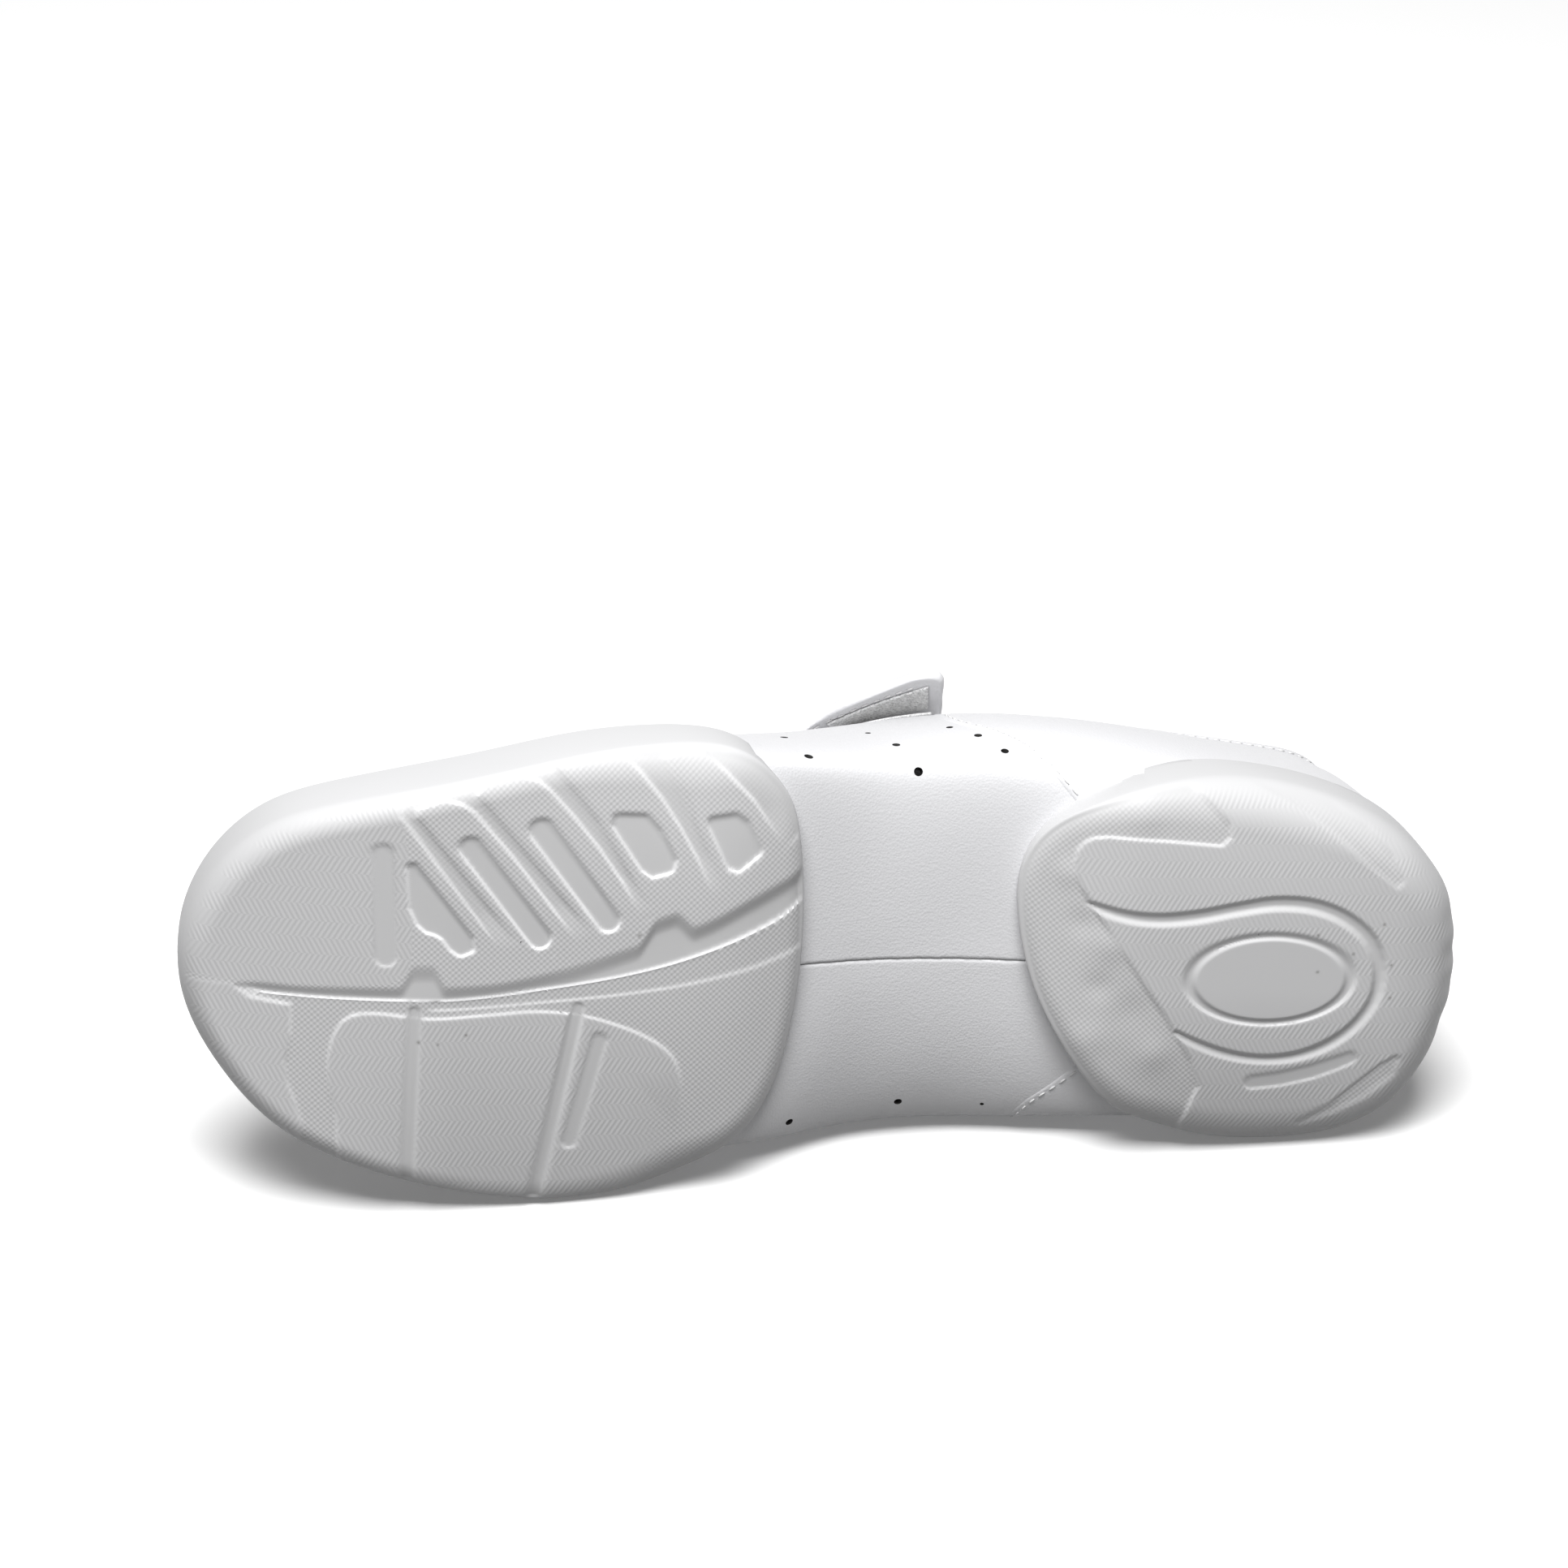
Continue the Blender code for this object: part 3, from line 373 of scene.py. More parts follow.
def clothMaterial(name, pitchMm, relief, dark, light, sheen):
    # Knitted or fuzzy textile: mottled colour and a coarse bump
    plain = {"Roughness": 0.9, "Specular IOR Level": 0.2, "Sheen Weight": sheen}
    made, tree, shader = newMaterial(name, plain)
    fuzz = textured(tree, "ShaderNodeTexNoise", 1000.0 / pitchMm, "Fac", Detail=3.0, Roughness=0.7)
    ramp = addNode(tree, "ShaderNodeValToRGB", {"Fac": fuzz})
    for element, position, colour in zip(ramp.color_ramp.elements, (0.35, 0.65), (dark, light)):
        element.position, element.color = position, hexColour(colour)
    shaded(tree, shader, ramp.outputs["Color"], fuzz, relief)
    return made


rubber = rubberMaterial()
leather = leatherMaterial()
lining = clothMaterial("white knitted lining", 0.5, 0.00012, "#D2D2D2", "#E9E9E9", 0.2)
hookTape = clothMaterial("white hook tape", 0.55, 0.0003, "#B4B4B4", "#F2F2F2", 0.3)
loopTape = clothMaterial("white loop tape", 0.7, 0.0004, "#B4B4B4", "#E2E2E2", 0.4)
# Twisted polyester thread, a little grey, and the dark grey cut inside the pinholes: partly a raw leather
# edge, partly painted shade in the holes
thread = newMaterial("white sewing thread", {"Base Color": "#DDDDDD", "Roughness": 0.6})[0]
rawEdgeAndHoleShade = newMaterial("raw leather edge and painted hole shade", {"Base Color": "#3C3B3A", "Roughness": 0.95})[0]
print("materials made")


def finishPiece(piece, materials, slotName, *nodes):
    for material in materials:
        piece.data.materials.append(material)
    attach(piece, "root")
    if nodes:
        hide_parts(*nodes)
    return piece


def stitchRow(bm, path, normals, look):
    # Thread dashes along a path in shoe millimetres
    travelled = travelAlong(path)
    pitch = look["length"] + look["gap"]

    def at(values, place):
        return np.array([np.interp(place, travelled, values[:, i]) for i in range(3)])

    for k in range(int(travelled[-1] / pitch)):
        middle = (k + 0.5) * pitch
        first, second = [at(path, middle + side * look["length"] / 2) for side in (-1, 1)]
        out, along = unit(at(normals, middle)), unit(second - first)
        side = unit(np.cross(out, along))
        turned = np.column_stack([lyingTurn @ along * look["length"] / 2, lyingTurn @ side * look["radius"],
                                  lyingTurn @ np.cross(along, side) * look["radius"]]) * 0.001
        place = Matrix(turned.tolist()).to_4x4()
        place.translation = Vector(toFloor(0.5 * (first + second) + out * look["rise"]))
        bmesh.ops.create_uvsphere(bm, u_segments=6, v_segments=5, radius=1.0, matrix=place)


# Rubber tread: signed distances in the plan, negative inside

def slotDistance(plan, x0, y0, half0, x1, y1, half1):
    a, ab = np.array((x0, y0)), np.array((x1 - x0, y1 - y0))
    t = np.clip((plan - a) @ ab / (ab @ ab), 0, 1)
    return np.linalg.norm(plan - a - t[..., None] * ab, axis=-1) - (half0 + (half1 - half0) * t)


def ribbonDistance(plan, rows):
    return np.min([slotDistance(plan, *a, *b) for a, b in zip(rows, rows[1:])], axis=0)


def lineDistance(plan, corners):
    return ribbonDistance(plan, [(x, y, 0.0) for x, y in corners])


def polygonDistance(plan, corners):
    inside = np.zeros(plan.shape[:-1], bool)
    for (x0, y0), (x1, y1) in zip(corners, corners[1:] + corners[:1]):
        crosses = (y0 > plan[..., 1]) != (y1 > plan[..., 1])
        run = (x1 - x0) * (plan[..., 1] - y0) / (y1 - y0 if y1 != y0 else 1e-9) + x0
        inside ^= crosses & (plan[..., 0] < run)
    distance = lineDistance(plan, corners + corners[:1])
    return np.where(inside, -distance, distance)


def softCorners(plan, corners, radius):    # polygon with rounded corners
    corners = np.array(corners)
    centre = corners.mean(axis=0)
    size = np.linalg.norm(corners - centre, axis=1).mean()
    smaller = [tuple(c) for c in centre + (corners - centre) * (1 - radius / size)]
    return polygonDistance(plan, smaller) - radius


def within(distance, wall):    # 1 inside, 0 outside, across a sloped wall of that width
    return smoothStep(0.5 - distance / wall)


def rounded(rows, step=2.2):    # smooth line through rows of places and widths
    rows = np.array(rows, float)
    run = travelAlong(rows[:, :2])
    table = np.column_stack([run, rows])
    return [tuple(row) for row in profile(table, np.linspace(0, run[-1], int(run[-1] / step) + 1))]


def specks(plan, rows):    # small dirt marks: x, y, size
    return 0.7 * np.max([np.exp(-((plan[..., 0] - x) ** 2 + (plan[..., 1] - y) ** 2) / size ** 2)
                         for x, y, size in rows], axis=0)


def treadShares(distances, plan, raised):
    # Walls that face the lateral side are crisp and get a painted highlight along their edge, others are
    # softer
    look, e = treadEdge, 0.05
    away, above = distances(plan), distances(plan + np.array([0.0, e]))
    inside, paintedHighlights = {}, {}
    for key in away:
        turned = (above[key] - away[key]) / e * (-1 if key in raised else 1)
        inside[key] = within(away[key], look["crisp"] + look["soft"] * smoothStep(turned + 0.35))
        paintedHighlights[key] = np.exp(-(away[key] / look["rim"]) ** 2) * smoothStep(0.8 - turned)
    return away, inside, paintedHighlights


# Tread walls in mm: grid points within reach and span are drawn to both sides of a wall, crisp is the
# width of a wall that faces the lateral side, soft is added to the others, and the last value is the width
# of the painted highlight along an edge
treadEdge = {"wall": 0.36, "reach": 0.46, "span": 1.1, "crisp": 0.65, "soft": 0.9, "rim": 0.3}
# Rolled edge (power 2 is a quarter ellipse) and wall above it; degrees of roll where grid points stop
# meeting edges, and where relief and marks have faded; still is the mm around the pole where nothing moves
soleEdge = {"rollPower": 2.15, "rollRings": 20, "wallRings": 6, "lean": 0.5, "meetTo": 72, "reliefTo": 80,
            "marksTo": 66, "still": 3}

forefootUnit = {
    "centre": (187.0, 2.5), "rear": (130.6, 5.0), "tip": (250.0, -2.5), "columns": 530, "flatRings": 140,
    "rows": ((132.4, -16, 27), (136.3, -29, 37), (142.5, -37.5, 43), (151, -43, 45.3),
             (163, -47.5, 45.2), (177, -49, 43.4), (191, -47.8, 40.3), (205, -45, 37),
             (219, -40.8, 33.4), (232, -34, 28.3), (242, -23.5, 19.4), (248, -13, 8.5)),
    "ground": ((129, 5.6), (136, 3.0), (143, 1.1), (150, 0.2), (156, 0), (162, 0), (195, 0), (199, 0),
               (204, 0.3), (210, 0.9), (225, 3.4), (238, 6.8), (250, 10.5)),
    "top": ((130, 12.5), (138, 14), (150, 17), (165, 18), (200, 18), (225, 20.5), (240, 24), (250, 26)),
    "roll": ((130, 3.5, 2.0), (138, 5, 4), (150, 8, 7.5), (165, 6.6, 6.5), (180, 4.8, 4.8),
             (205, 4.6, 4.6), (225, 4.8, 5), (240, 4.8, 5.5), (250, 5, 6)),
    "crown": ((130, 0.2, 0.08), (140, 0.25, 0.12), (150, 0.26, 0.16), (170, 0.2, 0.16),
              (185, 0.13, 0.16), (197, 0.06, 0.14), (207, 0.0, 0.1), (220, 0.0, 0.04), (250, 0.0, 0.0)),
    "crownFrom": (8.0, 0.0),
}
heelUnit = {
    "centre": (44.0, 1.0), "rear": (0.0, -2.0), "tip": (88.8, 15.0), "columns": 480, "flatRings": 120,
    "rows": ((2.2, -15.5, 12), (7.5, -26, 21), (15, -33, 28), (25, -37.2, 33.4), (37, -38.5, 37),
             (49, -37.4, 38.6), (60, -33.6, 38.2), (69, -28.5, 36.4), (77.5, -18, 33), (84, -6.5, 28),
             (87.6, 5, 22)),
    "ground": ((0, 3.2), (6, 1.4), (12, 0.2), (18, 0), (24, 0), (56, 0), (62, 0), (68, 0.3), (75, 1.6),
               (83, 4.6), (90, 7.4)),
    "top": ((0, 21), (15, 19), (40, 18), (58, 17.5), (70, 14), (90, 13.5)),
    "roll": ((0, 8, 8), (55, 8, 8), (68, 6, 5), (80, 4, 2.2), (90, 3.5, 1.8)),
    "crown": ((0, 0.1, 0.25), (20, 0.2, 0.35), (50, 0.25, 0.38), (65, 0.2, 0.3), (90, 0.05, 0.1)),
    "crownFrom": (6.0, -3.0),
}

forefootTread = {
    # main groove: x, lateral edge, medial edge, depth
    "groove": ((130, 21.8, 14.5, 1.6), (135, 19.3, 11.1, 1.7), (142, 16.0, 7.9, 1.7),
               (150, 11.9, 4.8, 1.6), (158, 9.0, 2.1, 1.5), (166, 6.1, 0.0, 1.3), (174, 3.2, -1.6, 1.1),
               (182, 0.8, -2.9, 1.0), (190, -1.0, -4.2, 0.9), (199, -1.7, -5.1, 0.9),
               (208, -2.1, -5.3, 0.9), (218, -2.6, -5.5, 0.85), (228, -3.2, -5.6, 0.8),
               (236, -3.4, -5.4, 0.7), (240, -4.2, -4.6, 0.0), (252, -4.3, -4.5, 0.0)),
    # notches in its lateral edge: x of the four corners, height
    "notches": ((199.4, 202.6, 205.7, 209.0, 4.6), (152.2, 156.6, 159.6, 163.6, 4.2)),
    # lower edge of the terrace beside the groove
    "terrace": ((128, 5.0), (141.5, 0.8), (147.8, -0.6), (156.3, -2.4), (165.9, -3.9), (181.8, -5.6),
                (198.6, -7.1), (206, -7.4), (252, -7.6)),
    "toeMedial": [(256, -4.5), (240, -4.5), (236.5, -6.7), (229, -7.6), (228.9, -14), (229.7, -19.5),
                  (229.1, -24.1), (227.6, -27.9), (226.3, -32), (225, -42), (222, -54), (256, -54)],
    "pod": [(218, -54), (219.4, -36), (219.9, -29.6), (221.2, -24.4), (221.7, -20.3), (220.6, -12.9),
            (219.2, -10.2), (216.9, -8.6), (214.1, -8.2), (203.9, -8.9), (191.2, -8), (182.3, -7.3),
            (172.4, -8.4), (167.2, -10), (160.6, -12.9), (157, -15.4), (155, -17.8), (153.9, -21.1),
            (153.5, -27), (154, -36), (157, -54)],
    # x where the pod's rear, the low ground, the terrace and the painted highlight on the groove's edge fade
    # out
    "podFade": 153, "lowEnd": 241, "terraceEnd": 207, "highlightEnd": 239,
    "deep": {"low": 0.28, "terrace": 0.44, "lateral": 0.4, "pockets": 0.5, "podGrooves": 0.5, "pills": 0.28,
             "groove": 0.68, "grooveSlope": 0.3},
    "toe": [(256, -3.8), (238, -3.4), (228, -3.2), (211, -2.2), (208.6, -0.9), (207, 1.4), (206.5, 5),
            (207, 15.2), (207.8, 24.5), (209.4, 32.4), (210.1, 35.7), (211, 50), (256, 50)],
    "lateralLow": [(211, 54), (210.3, 38), (209.4, 32.4), (201.6, 21.8), (191.6, 8.1), (189.6, 5.6),
                   (187, 5.4), (175, 6.6), (162.5, 11.5), (149, 16), (136.3, 24.5), (126, 32), (126, 54)],
    "channelEnds": ((190, 5.6), (175, 7.0), (163, 13.0), (149, 16.5), (137, 25.5)),
    "lugs": ([(188.4, 9.1), (206.5, 32.5), (206.4, 34.0), (201.5, 35.9), (198.1, 35.2), (195.7, 33.6),
              (187.8, 24.2), (175.3, 7.7), (181, 3)],
             [(172.5, 9), (195, 36.8), (194.4, 38.6), (191.2, 40), (187, 40.5), (183.6, 39.6),
              (181.2, 37.6), (176.4, 32.2), (171.4, 25.9), (166.9, 19.3), (162.5, 11.9), (168, 4)],
             [(163.4, 16.9), (171.9, 31.3), (180.3, 42.1), (179.6, 44.2), (175, 45.4), (169, 44.8),
              (166.6, 43.4), (164.3, 41.2), (160.0, 36.0), (156, 29.8), (152.7, 24.0), (149.8, 17.7),
              (156, 8)],
             [(147.3, 17.4), (153.3, 30.5), (159.3, 43.6), (156.4, 45.6), (152, 44.4), (148, 41.2),
              (142.1, 35.1), (136.3, 26.4), (140, 14)]),
    "slots": ((196.2, 26.4, 2.15, 182.3, 7.9, 2.15), (182.8, 29.8, 2.35, 169.3, 11.4, 2.2)),
    "pockets": ([(208.2, 24.3), (202, 16.2), (195, 6.9), (194.7, 4.9), (196.4, 4.2), (198.0, 5.4),
                 (199.9, 8.0), (201.7, 9.2), (204.1, 9.9), (205.6, 11.3), (207.3, 14.9)],
                [(169.2, 33.0), (163.4, 32.8), (160.6, 29.6), (157.0, 23.0), (157.4, 21.3),
                 (160.9, 20.4), (162.6, 21.6), (169.4, 31.8)],
                [(150.8, 32.0), (145.8, 32.6), (143.6, 31.0), (140.2, 24.3), (144.4, 21.0),
                 (145.9, 21.5), (150.6, 31.2)]),
    "podGrooves": ((205.7, -7.6, 1.3, 205.7, -50, 1.3), (174.3, -6.6, 1.3, 181.2, -50, 1.3)),
    "pills": ((212.7, 24.6, 2.1, 211.4, 3.8, 2.1), (169.9, -13.4, 1.5, 174.6, -35.4, 1.5)),
    "specks": ((163.2, 8.6, 0.35), (195.6, -12.2, 0.3), (204.6, -14.0, 0.35), (200.9, -14.2, 0.25)),
}


def forefootDistances(plan):
    tread = forefootTread
    x, y = plan[..., 0], plan[..., 1]
    found = {"grooveLow": profile(tread["groove"], x)[..., 1] - y,
             "terrace": profile(tread["terrace"], x) - y}
    for key in ("toeMedial", "toe", "lateralLow"):
        found[key] = polygonDistance(plan, tread[key])
    found["pod"] = polygonDistance(plan, rounded(tread["pod"]))
    found["lugs"] = np.min([polygonDistance(plan, lug) for lug in tread["lugs"]], axis=0)
    found["pockets"] = np.min([slotDistance(plan, *row) for row in tread["slots"]]
                              + [softCorners(plan, pocket, 1.1) for pocket in tread["pockets"]], axis=0)
    for key in ("podGrooves", "pills"):
        found[key] = np.min([slotDistance(plan, *row) for row in tread[key]], axis=0)
    return found


def forefootRelief(plan):
    tread, deep = forefootTread, forefootTread["deep"]
    away, inside, paintedHighlights = treadShares(forefootDistances, plan, ("pod", "toeMedial", "lugs"))
    x, y = plan[..., 0], plan[..., 1]
    lateralEdge, medialEdge, grooveDeep = np.moveaxis(profile(tread["groove"], x), -1, 0)
    for x0, x1, x2, x3, high in tread["notches"]:
        notch = high * smoothStep((x - x0) / (x1 - x0)) * smoothStep((x3 - x) / (x3 - x2))
        lateralEdge = lateralEdge + notch
    podKept = np.maximum(smoothStep((x - tread["podFade"]) / 11), smoothStep((y + 34) / 14))
    raised = np.maximum(inside["toeMedial"], inside["pod"] * podKept)
    below = 1 - inside["grooveLow"]
    low = deep["low"] * below * (1 - raised) * smoothStep((tread["lowEnd"] - x) / 2)
    terraceKept = below * smoothStep((tread["terraceEnd"] - x) / 6)
    terrace = deep["terrace"] * terraceKept * inside["terrace"]
    fade = smoothStep(lineDistance(plan, tread["channelEnds"]) / 9)
    lateral = deep["lateral"] * inside["lateralLow"] * (1 - inside["lugs"]) * fade
    pockets = deep["pockets"] * inside["pockets"]
    fromLateral, wide = lateralEdge - y, np.maximum(lateralEdge - medialEdge, 0.1)
    slope = 1 - deep["grooveSlope"] * np.clip((wide - 3.5) / 3, 0, 1) * np.clip(fromLateral / wide, 0, 1)
    groove = deep["groove"] * grooveDeep * smoothStep(fromLateral / np.clip(wide, 1.0, 4.4))
    groove = groove * inside["grooveLow"] * slope
    podGrooves = deep["podGrooves"] * within(away["podGrooves"], 1.3) * within(-away["grooveLow"] + 1, 1.0)
    pills = deep["pills"] * inside["pills"]    # bare recesses
    depth = np.max([low, terrace, lateral, pockets, groove, podGrooves, pills], axis=0)
    smooth = np.clip(np.max([pockets, groove, podGrooves], axis=0) / 0.3, 0, 1)
    smooth = np.maximum(smooth, inside["pills"])
    herring = np.maximum(raised, within(away["toe"], treadEdge["wall"])) * (1 - smooth)
    pebble = (1 - herring) * (1 - smooth) * (1 - 0.6 * np.clip(lateral / 0.4, 0, 1))
    # Painted highlight: a lighter colour along tread walls that face the lateral side, which lies up towards
    # the light
    rim = np.max([paintedHighlights["pod"] * podKept, paintedHighlights["toeMedial"] * smoothStep((y + 19) / 6),
                  paintedHighlights["grooveLow"] * smoothStep((tread["highlightEnd"] - x) / 2),
                  0.6 * paintedHighlights["terrace"] * terraceKept, 0.6 * paintedHighlights["podGrooves"] * below,
                  1.5 * paintedHighlights["pockets"], 1.6 * paintedHighlights["lugs"] * fade * inside["lateralLow"],
                  0.8 * paintedHighlights["lateralLow"] * fade], axis=0)
    # Painted shade: the colour darkens with the depth of a hollow
    return depth, {"herring": herring, "pebble": pebble, "hollow": depth / 2.5,
                   "dirt": specks(plan, tread["specks"]), "rim": np.minimum(rim * 0.5, 1)}


heelTread = {
    "curl": ((77.0, 14.6, 0.7), (74.5, 13.7, 1.1), (70.5, 12.6, 1.3), (63, 11.7, 1.45), (55, 12.3, 1.5),
             (47, 13.9, 1.5), (39, 15.1, 1.6), (31, 14.3, 1.6), (24.5, 11.4, 1.6), (19.8, 7.0, 1.6),
             (17.6, 1.0, 1.5), (18.0, -4.8, 1.4), (21, -10.2, 1.3), (26.5, -15, 1.3), (33, -17.6, 1.2),
             (40, -18.1, 1.1), (47, -16.8, 1.1), (53, -14.4, 1.0), (57, -12.3, 0.8)),
    "medallion": {"centre": (39.3, -0.9), "outer": (17.0, 9.7)},
    "deep": {"low": 0.4, "curl": 0.75, "ring": 0.55, "bands": 0.3, "pill": 0.28, "lens": 0.25,
             "swell": 1.25},
    "bands": (((44.5, 38.4, 0.3), (37, 36.1, 1.2), (30, 32.6, 2.0), (23.5, 28.0, 2.4),
               (18.6, 23.3, 2.2), (15.6, 19.6, 1.1)),
              ((30, -33.0, 0.4), (24, -29.4, 1.1), (18.6, -25.0, 1.9), (14.0, -20.6, 1.9),
               (12.4, -18.4, 0.9))),
    "pill": ((40.6, -23.4, 1.5), (35, -22.6, 1.6), (29, -21.0, 1.6), (24.5, -19.2, 1.5),
             (21.6, -17.9, 1.3)),
    "low": [(76, 15), (77.6, 17.2), (78.8, 20), (79.2, 22.6), (78.9, 24.8), (77.8, 26.6), (76.0, 27.8),
            (73, 28.3), (62, 27.8), (51, 26.8), (49.4, 28.4), (49.6, 31), (53, 34.5), (58, 39),
            (62, 50), (98, 50), (98, -45), (60, -50), (54, -34), (52.8, -29.3), (51.4, -24.4),
            (53.5, -18.4), (59.6, -8.5), (64, -2.4), (68, 3.5), (74.5, 12.7)],
    "lens": ((68.8, -26.1, 0.25), (61.1, -27.1, 0.35), (56.9, -26.2, 0.25)),
    "swells": ((71, 6, 5, 0.28), (66, -8, 6, -0.22), (77, 10, 4, -0.2), (61, -17, 5, 0.25),
               (80, 20, 4, 0.22), (73, -3, 4, -0.22), (66, 33, 5, 0.2), (74, -14, 5, 0.2)),
    "specks": ((17.6, 10.8, 0.3), (15.4, 2.2, 0.3), (15.0, -4.8, 0.3), (30.6, 8.6, 0.3),
               (30.0, 0.8, 0.3), (23.2, 4.6, 0.3)),
}


def heelDistances(plan):
    tread, disc = heelTread, heelTread["medallion"]
    size = np.array(disc["outer"])
    fromMiddle = np.linalg.norm((plan - np.array(disc["centre"])) / size, axis=-1)
    return {"low": polygonDistance(plan, tread["low"]),
            "curl": ribbonDistance(plan, rounded(tread["curl"])),
            "disc": (fromMiddle - 1) * size.min(),
            "bands": np.min([ribbonDistance(plan, rows) for rows in tread["bands"]], axis=0),
            "pill": ribbonDistance(plan, tread["pill"]), "lens": ribbonDistance(plan, tread["lens"])}


def heelRelief(plan):
    tread, deep = heelTread, heelTread["deep"]
    away, inside, paintedHighlights = treadShares(heelDistances, plan, ())
    x, y = plan[..., 0], plan[..., 1]
    inLow = inside["low"]
    curl = deep["curl"] * smoothStep((0.3 - away["curl"]) / 1.5)    # rounded channel
    bands = deep["bands"] * within(away["bands"], 1.0)
    ring = deep["ring"] * inside["disc"] * smoothStep((away["disc"] + 1.5) / 0.8)
    face = within(away["disc"] + 0.9, 0.6)
    pill = deep["pill"] * inside["pill"]    # a bare recess
    lens = deep["lens"] * within(away["lens"], 0.7)
    swell = sum(high * np.exp(-((x - sx) ** 2 + (y - sy) ** 2) / (0.5 * size * size))
                for sx, sy, size, high in tread["swells"])
    depth = np.max([deep["low"] * inLow, curl, ring, bands, pill, lens], axis=0)
    depth = depth - deep["swell"] * swell * inLow
    smooth = np.clip(np.max([curl / 0.3, ring / 0.3, face, inside["pill"]], axis=0), 0, 1)
    pebble = np.maximum(inLow, inside["bands"]) * (1 - smooth)
    # Painted highlight along the edges of the low ground and the medallion
    rim = np.maximum(paintedHighlights["low"], 0.7 * paintedHighlights["disc"])
    # Painted shade: the colour darkens with the depth of a hollow
    return depth, {"herring": (1 - pebble) * (1 - smooth), "pebble": pebble, "hollow": depth / 2.5,
                   "dirt": specks(plan, tread["specks"]), "rim": rim * 0.25}


# Height of the leather over a place in the plan, from samples of the last's underside
loopLine = np.linspace(0, loopCount, 481)
underside = bottomPoint(loopLine[:, None], np.linspace(0, 1, 61)[None, :]).reshape(-1, 3)
footLine = bottomPoint(loopLine, 1.0)


def leatherOver(plan):
    found = np.full(len(plan), 99.0)
    for i, point in enumerate(plan):
        away = np.sum((underside[:, :2] - point) ** 2, axis=1)
        nearest = np.argmin(away)
        if away[nearest] < 1.0:
            found[i] = underside[nearest, 2]
    return found


def drawnToEdges(places, edges, weight):
    # Grid points move along the surface to both sides of the nearest tread edge
    plan, look, e = places[..., :2], treadEdge, 0.04
    here = edges(plan)
    nearest = np.argmin(np.abs(here), axis=0)[None]
    away = np.take_along_axis(here, nearest, 0)[0]
    slope = [np.take_along_axis(edges(plan + step) - edges(plan - step), nearest, 0)[0]
             for step in (np.array([e, 0]), np.array([0, e]))]
    far, half = np.abs(away), 0.5 * look["wall"]
    reach, span = look["reach"], look["span"]
    kept = half + np.maximum(far - reach, 0) * (span - half) / (span - reach)
    move = np.where(far < span, np.where(away < 0, -kept, kept) - away, 0) * weight
    mx, my = np.moveaxis(unit(np.stack(slope, -1)) * move[..., None], -1, 0)
    down, around = np.gradient(places, axis=0), 0.5 * aroundSteps(places)
    area = down[..., 0] * around[..., 1] - down[..., 1] * around[..., 0]
    safe = np.abs(area) > 1e-5
    area = np.where(safe, area, 1.0)
    a = np.where(safe, (mx * around[..., 1] - my * around[..., 0]) / area, 0)
    b = np.where(safe, (my * down[..., 0] - mx * down[..., 1]) / area, 0)
    return places + a[..., None] * down + b[..., None] * around


def groundOver(table, plan):    # ground profile with a slight crown: degrees of bend for each mm sideways
    x, y = plan[..., 0], plan[..., 1]
    lateral, medial = np.moveaxis(np.radians(profile(table["crown"], x)), -1, 0)
    lateralFrom, medialFrom = table["crownFrom"]
    rise = 0.5 * lateral * np.maximum(y - lateralFrom, 0) ** 2
    return profile(table["ground"], x) + rise + 0.5 * medial * np.maximum(medialFrom - y, 0) ** 2


def treadRings(table, centre, edge, square):
    # Flat rings out from the centre, then the rolled edge; bend is the turn of each ring in degrees
    power = 2 / soleEdge["rollPower"]
    wide, tall = profile(table["roll"], edge[:, 0]).T
    tall = np.maximum(tall + profile(table["ground"], edge[:, 0]) - groundOver(table, edge), 1.5)
    inside = edge + square * wide[:, None]
    rings, bend = [], []
    for share in np.concatenate([[0], np.linspace(0.05, 1, table["flatRings"])]):
        plan = centre + (inside - centre) * share
        rings.append(np.column_stack([plan, groundOver(table, plan)]))
        bend.append(0.0)
    for turn in np.linspace(0, math.pi / 2, soleEdge["rollRings"] + 1)[1:]:
        plan = inside + (edge - inside) * math.sin(turn) ** power
        rise = tall * (1 - max(math.cos(turn), 0.0) ** power)
        rings.append(np.column_stack([plan, groundOver(table, plan) + rise]))
        bend.append(math.degrees(turn))
    return np.array(rings), np.array(bend)[:, None]


